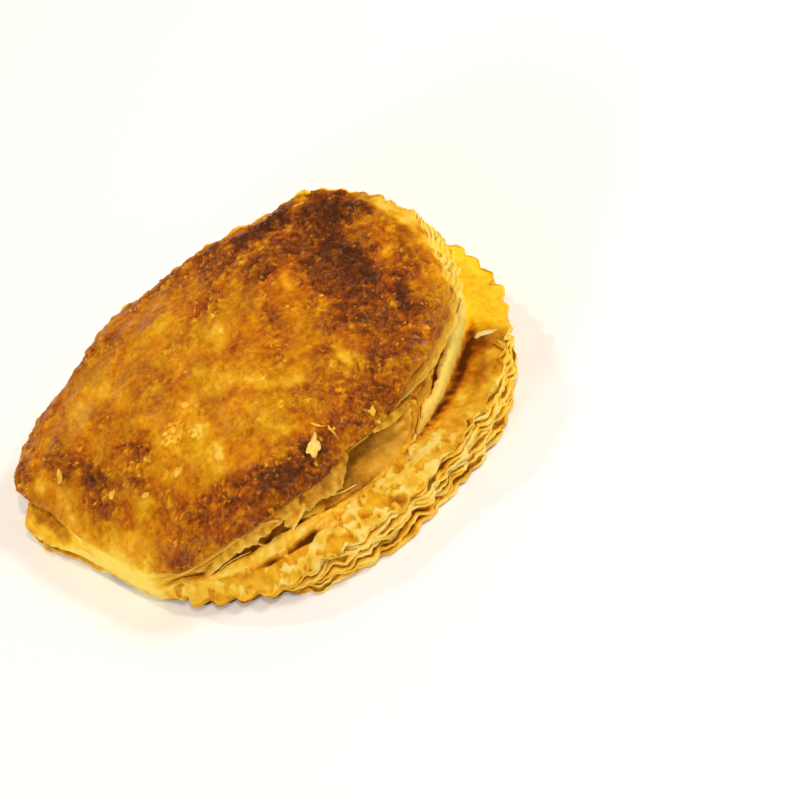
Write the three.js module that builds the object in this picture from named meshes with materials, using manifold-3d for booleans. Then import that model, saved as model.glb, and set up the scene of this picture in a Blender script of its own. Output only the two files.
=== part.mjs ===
// A puff pastry turnover: an oval sheet with a fluted cut edge, folded across its narrow waist over a filling
// and baked. The fold is the blunt end at -X and the rounded tip is at +X. The lower sheet rises into a
// layered, fluted rim that shows round the cut side, the upper sheet rises above it with a layered edge
// of its own, and the stretched inner dough shows in the gap between them. Millimetres, +Z up, resting
// on the flat baked base, origin at the centre of the base's box.
import * as THREE from "three";
import { mergeVertices } from "three/addons/utils/BufferGeometryUtils.js";
import Module from "manifold-3d";

// Outline and heights, at every thirty degrees round a centre inside the base, from the fold at -180 by the
// near side at -90, the tip at 0 and the far side at 90
const KEY_STEP = Math.PI / 6;
const OUTLINE = [78, 57, 50.5, 51.8, 54.8, 66.3, 73, 66.5, 57, 53.5, 55.5, 67]; // base, uncut by the fold
const RIM_HEIGHT = [6, 3.5, 3.8, 10.8, 13.8, 15, 16, 14, 11, 10, 9, 7]; // top of the lower sheet's edge
const RIM_WIDTH = [1, 1.2, 3.6, 9.4, 9.8, 13.5, 9, 7.5, 5, 4, 3.5, 2]; // its shelf, outside the gap
const RIM_LEAN = [0, -0.5, -0.5, -0.5, -0.5, 0, 2, 1, 0, -0.5, -0.5, 0]; // how far its foot lies further in
const SHELF_RISE = [0.3, 3.5, 6.2, 3, 1, 0.5, 0.3, 0.5, 0.5, 0.5, 0.5, 0.3]; // of the shelf towards the gap
const TOP_HEIGHT = [13, 14, 25.5, 29, 30, 36, 40.5, 39, 32, 26, 24, 14]; // top of the upper sheet's edge
const TOP_INSET = [0, 0, 3.2, 9.8, 12.3, 12.2, 12, 6.3, 4.5, 3.5, 3.5, 1]; // that edge, in from the outline
const TOP_EDGE = [3, 4, 3.5, 3, 3.2, 8, 11, 10.5, 9, 8, 7, 4]; // thickness of its layered edge
const TOP_LEAN = [0, 0.5, 0.8, 1, 0.5, -0.5, -4, -2.5, -0.5, 0.8, 1, 0.5]; // how far its foot lies further in
const TOP_FLUTING = [0, 0.1, 0.1, 0.1, 0.2, 0.6, 1, 0.8, 0.35, 0.25, 0.25, 0.1]; // share of the rim's fluting
const GAP_DEPTH = [0, 1, 4, 6, 7, 6, 4.5, 3.5, 3, 3, 2.5, 1]; // how far the inner dough is drawn in
const LIP_HEIGHT = [0, 0.4, 1.2, 1.2, 0.4, 4.5, 4, 2, 0.8, 0, 0, 0]; // inner sheet that stands up in the gap
const CROWN_FALL = [2.1, 2.2, 2.8, 3, 2.8, 2.4, 2.2, 2.4, 2.8, 3, 2.8, 2.2]; // how late the crust falls away

// The fold, a nearly straight end across the outline
const FOLD_REACH = 53; // from the centre to the fold
const FOLD_SKEW = 0.4; // turn of the fold line, radians
const CORNER_SHARPNESS = 18; // the higher, the tighter the two fold corners
const NEAR_CORNER = THREE.MathUtils.degToRad(-143);
const FAR_CORNER = THREE.MathUtils.degToRad(157);
const CORNER_BLEND = 0.18; // angle over which the leaves of the cut side run into the fold

// Fluting left by the cutter
const FLUTES = 47;
const FLUTE_DEPTH = 2;
const STEPS_PER_FLUTE = 4;
const FOLD_STEPS = 20;

// Leaves of the two layered edges, the gap between them, and the round wall of the fold
const RIM_LEAVES = 4;
const CRUST_LEAVES = 2;
const LEAF_GROOVE = 1.6; // depth of the grooves between leaves
const FULL_SWAY_HEIGHT = 12; // an edge thinner than this has leaves that sway less
const BASE_BEVEL = 1.1; // the baked base, in from the leaves above it
const SHELF_CROWN = 1.1; // the shelf of the rim is slightly crowned
const LIP_THICKNESS = 1.3;
const FOLD_ROUND = 3.2; // how far the middle of the fold's wall stands out
const FOLD_TURN = 0.86 * Math.PI; // of a half circle, from the base to the crust

// Crust
const CROWN_HEIGHT = 38.5;
const CROWN_RISE = 0.06; // slope of the middle of the crust towards the tip
const ROLL_HEIGHT = 1.2; // swelling of the crust just inside its edge
const ROLL_PLACE = 0.9; // its share of the way out
const ROLL_WIDTH = 0.06;
const CRUST_RINGS = [0.96, 0.9, 0.84, 0.78, 0.72, 0.66, 0.6, 0.54, 0.47, 0.4, 0.33, 0.26, 0.18, 0.1];
const COARSER_AFTER = [0, 6, 11]; // rings of the crust after which every second point is dropped
const BASE_RINGS = [0.45, 0.8]; // the flat base needs only two

// Hand-made unevenness: depth, length of the waves and their seed
const UNEVEN = {
  crustEdge: { depth: 1.1, size: 34, seed: 4 },
  crustInset: { depth: 0.9, size: 28, seed: 5 },
  crustLeaf: { depth: 0.5, size: 19, seed: 2 },
  gap: { depth: 0.8, size: 15, seed: 7 },
  lip: { depth: 0.25, size: 17, seed: 6 },
  shelf: { depth: 0.5, size: 13, seed: 3 },
  rimLeaf: { depth: 0.6, size: 22, seed: 1 },
  rimLeafHeight: { depth: 0.35, size: 16, seed: 8 },
  swell: { depth: 0.9, size: 46, seed: 3 },
  dimple: { depth: 0.45, size: 21, seed: 7 },
  blister: { depth: 0.5, size: 12, seed: 11 },
};

// Flakes stuck to the crust, each given by angle in degrees, share of the way out, length, width and turn
const FLAKE_THICKNESS = 1.7;
const FLAKE_CORNERS = 7;
const FLAKES = [
  [-88, 0.87, 6.5, 4, 1.1],
  [-81, 0.95, 5.5, 2.6, 0.3],
  [-104, 0.62, 4, 3, 2],
];

const CRUST_COLOUR = 0xd08a2a;
const CRUST_ROUGHNESS = 0.5;

const TAU = 2 * Math.PI;

// Smooth relief at a point, made of five crossing waves
function uneven({ depth, size, seed }, x, y = 0) {
  const crossing = 5;
  let sum = 0;
  for (let k = 0; k < crossing; k++) {
    const turn = seed * 1.7 + k * 2.4;
    const length = size * (0.78 + 0.13 * ((k * 7 + seed * 3) % crossing));
    sum += Math.sin((TAU * (x * Math.cos(turn) + y * Math.sin(turn))) / length + seed * 5.1 + k * 1.3);
  }
  return (depth * 1.5 * sum) / crossing;
}

// A value given at the key angles, carried smoothly round the outline
function around(values, angle) {
  const n = values.length;
  const turn = THREE.MathUtils.euclideanModulo(angle + Math.PI, TAU) / KEY_STEP;
  const i = Math.floor(turn);
  const t = turn - i;
  const at = (k) => values[THREE.MathUtils.euclideanModulo(k, n)];
  const slope = (k) => {
    const before = at(k) - at(k - 1);
    const after = at(k + 1) - at(k);
    return before * after <= 0 ? 0 : (2 * before * after) / (before + after);
  };
  return (
    (2 * t ** 3 - 3 * t ** 2 + 1) * at(i) +
    (t ** 3 - 2 * t ** 2 + t) * slope(i) +
    (3 * t ** 2 - 2 * t ** 3) * at(i + 1) +
    (t ** 3 - t ** 2) * slope(i + 1)
  );
}

// Distance from the centre to the base outline at an angle: the oval or the fold line, whichever is nearer
function reach(angle) {
  const oval = around(OUTLINE, angle);
  const toward = -Math.cos(angle - FOLD_SKEW);
  if (toward < 0.02) return oval;
  const fold = FOLD_REACH / toward;
  return (oval ** -CORNER_SHARPNESS + fold ** -CORNER_SHARPNESS) ** (-1 / CORNER_SHARPNESS);
}

// 1 on the fold, 0 on the cut side, with a short change at the corners
function foldShare(angle) {
  const a = THREE.MathUtils.euclideanModulo(angle, TAU);
  const start = THREE.MathUtils.smoothstep(a, FAR_CORNER, FAR_CORNER + CORNER_BLEND);
  const end = THREE.MathUtils.smoothstep(a, NEAR_CORNER + TAU - CORNER_BLEND, NEAR_CORNER + TAU);
  return start * (1 - end);
}

// Stations from one angle to another, evenly spaced along the outline
function walk(from, to, steps, flutes) {
  const fine = 2000;
  const angles = Array.from({ length: fine + 1 }, (_, i) => from + ((to - from) * i) / fine);
  const points = angles.map((a) => new THREE.Vector2(Math.cos(a), Math.sin(a)).multiplyScalar(reach(a)));
  const along = [0];
  for (let i = 1; i <= fine; i++) along.push(along[i - 1] + points[i].distanceTo(points[i - 1]));
  let j = 0;
  return Array.from({ length: steps }, (_, i) => {
    const target = (along[fine] * i) / steps;
    while (along[j + 1] < target) j++;
    const angle = THREE.MathUtils.mapLinear(target, along[j], along[j + 1], angles[j], angles[j + 1]);
    return { angle, along: target, flute: (flutes * i) / steps, cut: flutes > 0 };
  });
}

// Stations round the whole outline, fine along the cut side and coarse along the fold
function stations() {
  return [
    ...walk(NEAR_CORNER, FAR_CORNER, FLUTES * STEPS_PER_FLUTE, FLUTES),
    ...walk(FAR_CORNER, NEAR_CORNER + TAU, FOLD_STEPS, 0),
  ];
}

// How far the fluting stands out at a station: round lobes with sharp notches between them
function fluting(station, share) {
  const lobe = Math.abs(Math.sin(Math.PI * station.flute));
  return station.cut ? FLUTE_DEPTH * share * (lobe - 0.65) * (1 - foldShare(station.angle)) : 0;
}

// The leaves of one edge, from low to high: ridges where a leaf stands out, and grooves between them
function leaves(count, station, { inset, lean, from, to, flutes, unevenInset, unevenHeight }) {
  return Array.from({ length: 2 * count + 1 }, (_, j) => {
    const ridge = j % 2 === 0;
    const share = j / (2 * count);
    const spread = ridge ? uneven(unevenInset, station.along, 23 * j) : LEAF_GROOVE;
    const swing = Math.min(1, (to - from) / FULL_SWAY_HEIGHT);
    const sway = ridge && j > 0 ? swing * uneven(unevenHeight, station.along, 31 * j) : 0;
    return [
      inset + lean * (1 - share) + spread - fluting(station, flutes * (ridge ? 0.9 : 0.55)),
      from + (to - from) * share + sway,
    ];
  });
}

// The side of the pastry at one station, from the base up to the crust's edge: pairs of inset and height
function profile(station) {
  const { angle, along } = station;
  const rim = around(RIM_HEIGHT, angle);
  const rimLean = around(RIM_LEAN, angle);
  const rise = around(SHELF_RISE, angle);
  const shelfTop = rim + rise + 0.3 * SHELF_CROWN;
  const shelf = around(RIM_WIDTH, angle);
  const top = around(TOP_HEIGHT, angle) + uneven(UNEVEN.crustEdge, along);
  const inset = around(TOP_INSET, angle) + uneven(UNEVEN.crustInset, along);
  const under = top - around(TOP_EDGE, angle);
  const gap = around(GAP_DEPTH, angle) + uneven(UNEVEN.gap, along);
  const lip = around(LIP_HEIGHT, angle) * (1 + uneven(UNEVEN.lip, along));
  const rows = [
    [BASE_BEVEL + Math.max(rimLean, 0) - fluting(station, 0.7), 0],
    ...leaves(RIM_LEAVES, station, {
      inset: 0,
      lean: rimLean,
      from: 0.08 * rim,
      to: rim,
      flutes: 1,
      unevenInset: UNEVEN.rimLeaf,
      unevenHeight: UNEVEN.rimLeafHeight,
    }),
    [shelf * 0.45, rim + 0.45 * rise + SHELF_CROWN + uneven(UNEVEN.shelf, along)],
    [shelf, shelfTop],
    [shelf + LIP_THICKNESS, shelfTop + lip],
    [shelf + LIP_THICKNESS + Math.max(1.3, 0.6 * gap), shelfTop + 0.6 + 0.18 * (under - shelfTop)],
    [Math.max(inset + 2.5, shelf + gap), shelfTop + 0.62 * (under - shelfTop)],
    ...leaves(CRUST_LEAVES, station, {
      inset,
      lean: around(TOP_LEAN, angle),
      from: under,
      to: top,
      flutes: around(TOP_FLUTING, angle),
      unevenInset: UNEVEN.crustLeaf,
      unevenHeight: UNEVEN.rimLeafHeight,
    }),
  ];
  // On the fold the two sheets are one, so the side there is a round smooth wall
  const fold = foldShare(angle);
  return rows.map(([d, z], i) => {
    const share = i / (rows.length - 1);
    const turn = FOLD_TURN * share - Math.PI / 2;
    const wallInset = BASE_BEVEL + inset * share - FOLD_ROUND * Math.cos(turn);
    const wallHeight = (top * (1 + Math.sin(turn))) / (1 + Math.sin(FOLD_TURN - Math.PI / 2));
    return [THREE.MathUtils.lerp(d, wallInset, fold), THREE.MathUtils.lerp(z, wallHeight, fold)];
  });
}

// A point of the crust, given its angle, its share of the way out from the middle and the height of its edge
function crustPoint(angle, share, edgeHeight) {
  const radius = (reach(angle) - around(TOP_INSET, angle)) * share;
  const x = radius * Math.cos(angle);
  const y = radius * Math.sin(angle);
  const crown = CROWN_HEIGHT + CROWN_RISE * x;
  const fall = (edgeHeight - crown) * share ** around(CROWN_FALL, angle);
  const nearEdge = Math.exp(-(((share - ROLL_PLACE) / ROLL_WIDTH) ** 2));
  const roll = ROLL_HEIGHT * nearEdge * (1 - 0.7 * foldShare(angle));
  const relief = uneven(UNEVEN.swell, x, y) + uneven(UNEVEN.dimple, x, y) + uneven(UNEVEN.blister, x, y);
  return [x, y, crown + fall + roll + relief * (1 - share ** 8)];
}

// The closed skin: rings of points from the middle of the base, up the side and over the crust to its middle
function pastrySkin() {
  const round = stations();
  const sides = round.map(profile);
  const positions = [];
  const faces = [];
  const addRing = (points) => {
    const first = positions.length / 3;
    points.forEach((p) => positions.push(...p));
    return { first, size: points.length };
  };
  const at = (ring, i) => ring.first + (i % ring.size);
  // Joins two rings of the same size, or of which one has twice as many points as the other
  const join = (low, high) => {
    const n = Math.min(low.size, high.size);
    for (let i = 0; i < n; i++) {
      if (low.size === high.size) {
        faces.push(at(low, i), at(low, i + 1), at(high, i + 1), at(low, i), at(high, i + 1), at(high, i));
      } else if (low.size > high.size) {
        faces.push(at(low, 2 * i), at(low, 2 * i + 1), at(high, i));
        faces.push(at(low, 2 * i + 1), at(high, i + 1), at(high, i));
        faces.push(at(low, 2 * i + 1), at(low, 2 * i + 2), at(high, i + 1));
      } else {
        faces.push(at(high, 2 * i + 1), at(high, 2 * i), at(low, i));
        faces.push(at(high, 2 * i + 1), at(low, i), at(low, i + 1));
        faces.push(at(high, 2 * i + 2), at(high, 2 * i + 1), at(low, i + 1));
      }
    }
  };
  const point = (angle, radius, z) => [radius * Math.cos(angle), radius * Math.sin(angle), z];
  const thin = (list, times) => list.filter((_, i) => i % 2 ** times === 0);

  const rings = BASE_RINGS.map((share, i) =>
    addRing(thin(round, BASE_RINGS.length - i).map((s) => point(s.angle, reach(s.angle) * share, 0))),
  );
  const baseMiddle = positions.length / 3;
  positions.push(0, 0, 0);
  const inner = rings[0];
  for (let i = 0; i < inner.size; i++) faces.push(baseMiddle, at(inner, i + 1), at(inner, i));

  for (let row = 0; row < sides[0].length; row++) {
    const points = round.map(({ angle }, i) => {
      const [inset, height] = sides[i][row];
      return point(angle, reach(angle) - inset, height);
    });
    rings.push(addRing(points));
  }
  const edges = round.map(({ angle }, i) => ({ angle, height: sides[i][sides[i].length - 1][1] }));
  let times = 0;
  CRUST_RINGS.forEach((share, ring) => {
    if (COARSER_AFTER.includes(ring - 1)) times++;
    rings.push(addRing(thin(edges, times).map(({ angle, height }) => crustPoint(angle, share, height))));
  });
  for (let k = 1; k < rings.length; k++) join(rings[k - 1], rings[k]);
  const outer = rings[rings.length - 1];
  const crustMiddle = positions.length / 3;
  positions.push(...crustPoint(0, 0, CROWN_HEIGHT));
  for (let i = 0; i < outer.size; i++) faces.push(crustMiddle, at(outer, i), at(outer, i + 1));

  const skin = new THREE.BufferGeometry();
  skin.setAttribute("position", new THREE.Float32BufferAttribute(positions, 3));
  skin.setIndex(faces);
  return skin;
}

// A loose flake of crust: a thin leaf with an uneven outline, its underside at height 0
function flake(length, width, seed) {
  const outline = Array.from({ length: FLAKE_CORNERS }, (_, i) => {
    const a = (TAU * i) / FLAKE_CORNERS;
    const jag = 0.5 * (1 + 0.25 * Math.sin(seed * 3 + i * 2.6));
    return new THREE.Vector2(Math.cos(a) * length * jag, Math.sin(a) * width * jag);
  });
  return new THREE.ExtrudeGeometry(new THREE.Shape(outline), { depth: FLAKE_THICKNESS, bevelEnabled: false });
}

const wasm = await Module();
wasm.setup();

// A three.js geometry as a solid that can be joined to another
function solid(geometry) {
  const bare = geometry.clone();
  bare.deleteAttribute("normal");
  bare.deleteAttribute("uv");
  const merged = mergeVertices(bare, 1e-4);
  return new wasm.Manifold(
    new wasm.Mesh({
      numProp: 3,
      vertProperties: merged.attributes.position.array,
      triVerts: new Uint32Array(merged.index.array),
    }),
  );
}

// The whole pastry: the skin with its flakes, moved so that the origin is at the middle of its box's bottom
function pastry() {
  let body = solid(pastrySkin());
  FLAKES.forEach(([degrees, share, length, width, turn], i) => {
    const angle = THREE.MathUtils.degToRad(degrees);
    const pointOut = (out) => new THREE.Vector3(...crustPoint(angle, out, around(TOP_HEIGHT, angle)));
    const foot = pointOut(share);
    const outward = pointOut(share + 0.04).sub(foot);
    const leaf = flake(length, width, i);
    leaf.rotateZ(turn);
    leaf.rotateY(-Math.atan2(outward.z, Math.hypot(outward.x, outward.y)));
    leaf.rotateZ(angle);
    leaf.translate(foot.x, foot.y, foot.z - FLAKE_THICKNESS * 0.45);
    body = body.add(solid(leaf));
  });
  const made = body.getMesh();
  const geometry = new THREE.BufferGeometry();
  const points = new Float32Array(made.numVert * 3);
  for (let i = 0; i < made.numVert; i++) {
    points.set(made.vertProperties.subarray(i * made.numProp, i * made.numProp + 3), i * 3);
  }
  geometry.setAttribute("position", new THREE.BufferAttribute(points, 3));
  geometry.setIndex(new THREE.BufferAttribute(made.triVerts, 1));
  geometry.computeBoundingBox();
  const middle = geometry.boundingBox.getCenter(new THREE.Vector3());
  geometry.translate(-middle.x, -middle.y, -geometry.boundingBox.min.z);
  geometry.computeVertexNormals();
  return geometry;
}

const bakedCrust = new THREE.MeshStandardMaterial({ color: CRUST_COLOUR, roughness: CRUST_ROUGHNESS });
const pastryMesh = new THREE.Mesh(pastry(), bakedCrust);
pastryMesh.name = "pastry";

const turnover = new THREE.Group();
turnover.add(pastryMesh);

export default turnover;
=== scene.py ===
# A baked puff pastry turnover in Blender: the CAD solid gives place, size and form, and one fine skin
# replaces it, with thin leaves, blisters, torn inner dough, loose flakes and a glazed, unevenly browned crust.
import math
import bpy
import numpy as np
from mathutils import Matrix, Vector
from mathutils.bvhtree import BVHTree


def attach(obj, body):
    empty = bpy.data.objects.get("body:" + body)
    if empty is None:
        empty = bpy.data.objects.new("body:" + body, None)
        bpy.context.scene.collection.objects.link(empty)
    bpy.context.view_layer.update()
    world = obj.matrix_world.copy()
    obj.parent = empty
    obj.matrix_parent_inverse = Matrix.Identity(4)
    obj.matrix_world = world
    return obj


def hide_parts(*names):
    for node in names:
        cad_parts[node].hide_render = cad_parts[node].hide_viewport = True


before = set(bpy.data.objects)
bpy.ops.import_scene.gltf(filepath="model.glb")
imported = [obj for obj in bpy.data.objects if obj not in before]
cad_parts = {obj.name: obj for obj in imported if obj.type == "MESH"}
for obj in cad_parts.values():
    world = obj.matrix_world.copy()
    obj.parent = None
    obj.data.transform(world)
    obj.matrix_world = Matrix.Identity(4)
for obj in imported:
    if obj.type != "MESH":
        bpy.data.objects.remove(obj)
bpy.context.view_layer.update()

MM = 0.001

# Outline and heights of the pastry in mm, at every thirty degrees round the outline's centre, from the fold
# at -180 by the near side at -90, the tip at 0 and the far side at 90
KEY_STEP = math.pi / 6
OUTLINE = [78, 57, 50.5, 51.8, 54.8, 66.3, 73, 66.5, 57, 53.5, 55.5, 67]
RIM_HEIGHT = [6, 3.5, 3.8, 10.8, 13.8, 15, 16, 14, 11, 10, 9, 7]
RIM_WIDTH = [1, 1.2, 3.6, 9.4, 9.8, 13.5, 9, 7.5, 5, 4, 3.5, 2]
RIM_LEAN = [0, -0.5, -0.5, -0.5, -0.5, 0, 2, 1, 0, -0.5, -0.5, 0]
SHELF_RISE = [0.3, 3.5, 6.2, 3, 1, 0.5, 0.3, 0.5, 0.5, 0.5, 0.5, 0.3]
TOP_HEIGHT = [13, 14, 25.5, 29, 30, 36, 40.5, 39, 32, 26, 24, 14]
TOP_INSET = [0, 0, 3.2, 9.8, 12.3, 12.2, 12, 6.3, 4.5, 3.5, 3.5, 1]
TOP_EDGE = [3, 4, 3.5, 3, 3.2, 8, 11, 10.5, 9, 8, 7, 4]
TOP_LEAN = [0, 0.5, 0.8, 1, 0.5, -0.5, -4, -2.5, -0.5, 0.8, 1, 0.5]
TOP_FLUTING = [0, 0.1, 0.1, 0.1, 0.15, 0.45, 0.9, 0.6, 0.15, 0.1, 0.1, 0.1]
TOP_LEAFINESS = [0.3, 0.3, 0.3, 0.3, 0.4, 0.8, 1, 1, 1, 0.8, 0.6, 0.4]  # depth of the crust's leaves
GAP_DEPTH = [0, 1, 4, 6, 7, 6, 4.5, 3.5, 3, 3, 2.5, 1]
LIP_HEIGHT = [0, 0.4, 0.9, 0.7, 0.15, 4.5, 4, 2, 0.8, 0, 0, 0]
LIP_WIDTH = [1.3, 1.6, 2.2, 1.6, 0.8, 3.0, 3.2, 1.3, 1.3, 1.3, 1.3, 1.3]
WALL_INSET = [1, 1, 1.5, 2.2, 2.4, 2.4, 2.6, 3, 3, 2.5, 2, 1]  # of the wall in the gap, from the crust's edge
CROWN_FALL = [2.1, 2.2, 2.8, 3, 2.8, 2.4, 2.2, 2.4, 2.8, 3, 2.8, 2.2]
CENTRE = (-3.58, -0.90)  # of the outline, from the middle of the part's box

# Fold
FOLD_REACH = 53
FOLD_SKEW = 0.4
CORNER_SHARPNESS = 18
NEAR_CORNER = math.radians(-143)
FAR_CORNER = math.radians(157)
CORNER_BLEND = 0.18
FOLD_ROUND = 3.2
FOLD_TURN = 0.86 * math.pi

# Cut edges
FLUTES = 47
FLUTE_DEPTH = 2.0
STEPS_PER_FLUTE = 18
FOLD_STEPS = 250
RIM_LEAVES = 7
CRUST_LEAVES = 5
FULL_SWAY_HEIGHT = 12
BASE_BEVEL = 1.1
SHELF_CROWN = 1.1
SHELF_STEPS = 24
LIP_THICKNESS = 1.3
WALL_STEPS = 45
POCKET_DEPTH = 4.0  # of the wide hollow torn into the gap at the near side
NOTCH_ROUND = 0.22  # softens the notches between the flutes

# Crust
CROWN_HEIGHT = 38.5
CROWN_RISE = 0.06
ROLL_HEIGHT = 1.2
ROLL_PLACE = 0.9
ROLL_WIDTH = 0.06
CRUST_STEP = 0.36  # between rings of the crust
EDGE_REACH = 3.0  # how far in the crust follows its ragged edge

# Unevenness shared with the CAD solid: depth, length of the waves and their seed
UNEVEN = {
    "crust_edge": (1.1, 34, 4),
    "crust_inset": (0.9, 28, 5),
    "crust_leaf": (0.5, 19, 2),
    "gap": (0.8, 15, 7),
    "lip": (0.25, 17, 6),
    "shelf": (0.5, 13, 3),
    "rim_leaf": (0.6, 22, 1),
    "leaf_height": (0.35, 16, 8),
    "swell": (0.9, 46, 3),
    "dimple": (0.45, 21, 7),
    "blister": (0.5, 12, 11),
}

# Slits torn between the ridge of inner dough and the crust: angle, half length in degrees, depth, opening
SLITS = [(-107.5, 8.0, 3.2, 3.4), (-121.5, 4.5, 2.4, 2.0)]
RIDGE = (-112, 12)  # where the ridge stands highest in front of them, and how wide that is, in degrees
RIDGE_HEIGHT = 1.9

# Camera: the photograph's view, as angles about the pastry
VIEW_AZIMUTH = math.radians(-7.5)
VIEW_ELEVATION = math.radians(47.9)
VIEW_ROLL = math.radians(-25.7)
VIEW_DISTANCE = 0.70
VIEW_SCALE = 3.794  # pixels of the photograph for each mm at the pastry's centre
FRAME_PIXELS = 800
PASTRY_PIXEL = (251.2, 401.5)  # where the photograph shows a point 20 mm above the outline's centre
SENSOR_MM = 36.0


# Smooth relief at points, made of five crossing waves
def uneven(kind, x, y=0.0):
    depth, size, seed = UNEVEN[kind]
    crossing = 5
    total = 0
    for k in range(crossing):
        turn = seed * 1.7 + k * 2.4
        length = size * (0.78 + 0.13 * ((k * 7 + seed * 3) % crossing))
        across = x * math.cos(turn) + y * math.sin(turn)
        total = total + np.sin(math.tau * across / length + seed * 5.1 + k * 1.3)
    return depth * 1.5 * total / crossing


# A value given at the key angles, carried smoothly round the outline
def around(values, angle):
    v = np.asarray(values, float)
    n = len(v)
    turn = np.mod(np.asarray(angle) + math.pi, math.tau) / KEY_STEP
    i = np.floor(turn).astype(int) % n
    t = turn - np.floor(turn)
    before = v - np.roll(v, 1)
    after = np.roll(v, -1) - v
    both = before * after
    slope = np.where(both <= 0, 0, 2 * both / np.where(both <= 0, 1, before + after))
    j = (i + 1) % n
    return (
        (2 * t**3 - 3 * t**2 + 1) * v[i]
        + (t**3 - 2 * t**2 + t) * slope[i]
        + (3 * t**2 - 2 * t**3) * v[j]
        + (t**3 - t**2) * slope[j]
    )


def smoothstep(x, low, high):
    t = np.clip((x - low) / (high - low), 0, 1)
    return t * t * (3 - 2 * t)


# Distance from the centre to the base outline: the oval or the fold line, whichever is nearer
def reach(angle):
    oval = around(OUTLINE, angle)
    toward = np.maximum(-np.cos(angle - FOLD_SKEW), 0.02)
    fold = FOLD_REACH / toward
    return (oval**-CORNER_SHARPNESS + fold**-CORNER_SHARPNESS) ** (-1 / CORNER_SHARPNESS)


# 1 on the fold, 0 on the cut side
def fold_share(angle):
    a = np.mod(angle, math.tau)
    start = smoothstep(a, FAR_CORNER, FAR_CORNER + CORNER_BLEND)
    end = smoothstep(a, NEAR_CORNER + math.tau - CORNER_BLEND, NEAR_CORNER + math.tau)
    return start * (1 - end)


# Gradient noise from -1 to 1 at points (n, 3), one cell for each size
def noise(points, size, seed):
    rng = np.random.default_rng(seed)
    count = 4096
    table = rng.normal(size=(count, 3))
    table /= np.linalg.norm(table, axis=1, keepdims=True)
    p = np.asarray(points) / size + seed * 7.31
    cell = np.floor(p).astype(np.int64)
    f = p - cell
    fade = f * f * f * (f * (f * 6 - 15) + 10)
    total = np.zeros(len(p))
    for corner in range(8):
        step = np.array([corner & 1, corner >> 1 & 1, corner >> 2 & 1])
        c = cell + step
        index = (c[:, 0] * 73856093 ^ c[:, 1] * 19349663 ^ c[:, 2] * 83492791) % count
        weight = np.prod(np.where(step == 1, fade, 1 - fade), axis=1)
        total += weight * np.einsum("ij,ij->i", table[index], f - step)
    return total * 1.6


# Noise of several sizes, each half as large and half as strong
def rough(points, size, seed, octaves=3):
    return sum(noise(points, size / 2**k, seed + k) / 2**k for k in range(octaves))


# Round blisters at plan points (n, 2): height 0 to 1, from seeded places with radii from low to high
def blisters(points, spacing, low, high, seed, share=1.0):
    rng = np.random.default_rng(seed)
    count = 4096
    table = rng.random((count, 4))
    p = np.asarray(points) / spacing
    cell = np.floor(p).astype(np.int64)
    best = np.zeros(len(p))
    for dx in (-1, 0, 1):
        for dy in (-1, 0, 1):
            c = cell + (dx, dy)
            t = table[(c[:, 0] * 73856093 ^ c[:, 1] * 19349663) % count]
            radius = (low + (high - low) * t[:, 2]) / spacing
            gap = np.hypot(p[:, 0] - c[:, 0] - t[:, 0], p[:, 1] - c[:, 1] - t[:, 1]) / radius
            dome = np.sqrt(np.clip(1 - gap**2, 0, 1)) * (t[:, 3] < share)
            best = np.maximum(best, dome * (0.6 + 0.4 * t[:, 2]))
    return best


# Stations from one angle to another, evenly spaced along the outline
def walk(start, end, steps, flutes):
    angles = np.linspace(start, end, 4001)
    radius = reach(angles)
    x, y = radius * np.cos(angles), radius * np.sin(angles)
    along = np.concatenate([[0], np.cumsum(np.hypot(np.diff(x), np.diff(y)))])
    target = along[-1] * np.arange(steps) / steps
    return {
        "angle": np.interp(target, along, angles),
        "along": target,
        "flute": flutes * np.arange(steps) / steps,
        "cut": np.full(steps, float(flutes > 0)),
    }


def stations():
    cut = walk(NEAR_CORNER, FAR_CORNER, FLUTES * STEPS_PER_FLUTE, FLUTES)
    fold = walk(FAR_CORNER, NEAR_CORNER + math.tau, FOLD_STEPS, 0)
    return {key: np.concatenate([cut[key], fold[key]]) for key in cut}


STATION = stations()
ANGLE = STATION["angle"]
ALONG = STATION["along"]
COUNT = len(ANGLE)
REACH = reach(ANGLE)
FOLD = fold_share(ANGLE)
DEGREES = (np.degrees(ANGLE) + 180) % 360 - 180


# A value that wanders along the edge: a loop of noise, so that it closes on itself
def wander(size, seed, level=0.0):
    x, y = REACH * np.cos(ANGLE), REACH * np.sin(ANGLE)
    return noise(np.column_stack([x, y, np.full(COUNT, level)]), size, seed)


# 1 at an angle in degrees, falling away on both sides over the given width
def near_angle(degrees, width):
    gap = (DEGREES - degrees + 180) % 360 - 180
    return np.exp(-((gap / width) ** 2))


# 1 between two angles in degrees, with soft ends
def between(start, end, soft=4):
    return smoothstep(DEGREES, start - soft, start + soft) * (1 - smoothstep(DEGREES, end - soft, end + soft))


# How far the fluting stands out: round lobes with sharp notches between them
def fluting(share, lag=0.0):
    lobe = np.hypot(np.sin(np.pi * (STATION["flute"] + lag)), NOTCH_ROUND)
    return STATION["cut"] * FLUTE_DEPTH * share * (lobe - 0.65) * (1 - FOLD)


class Rows:
    """Rows of the skin from the base up: inset and height in mm, and what the surface is there"""

    KEYS = ("inset", "height", "dough", "toast", "relief", "baked", "olive")

    def __init__(self):
        self.columns = {key: [] for key in self.KEYS}

    def add(self, inset, height, dough, toast, relief, baked=0.0, olive=0.0):
        for key, value in zip(self.KEYS, (inset, height, dough, toast, relief, baked, olive)):
            self.columns[key].append(np.broadcast_to(value, COUNT).astype(float))


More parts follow.
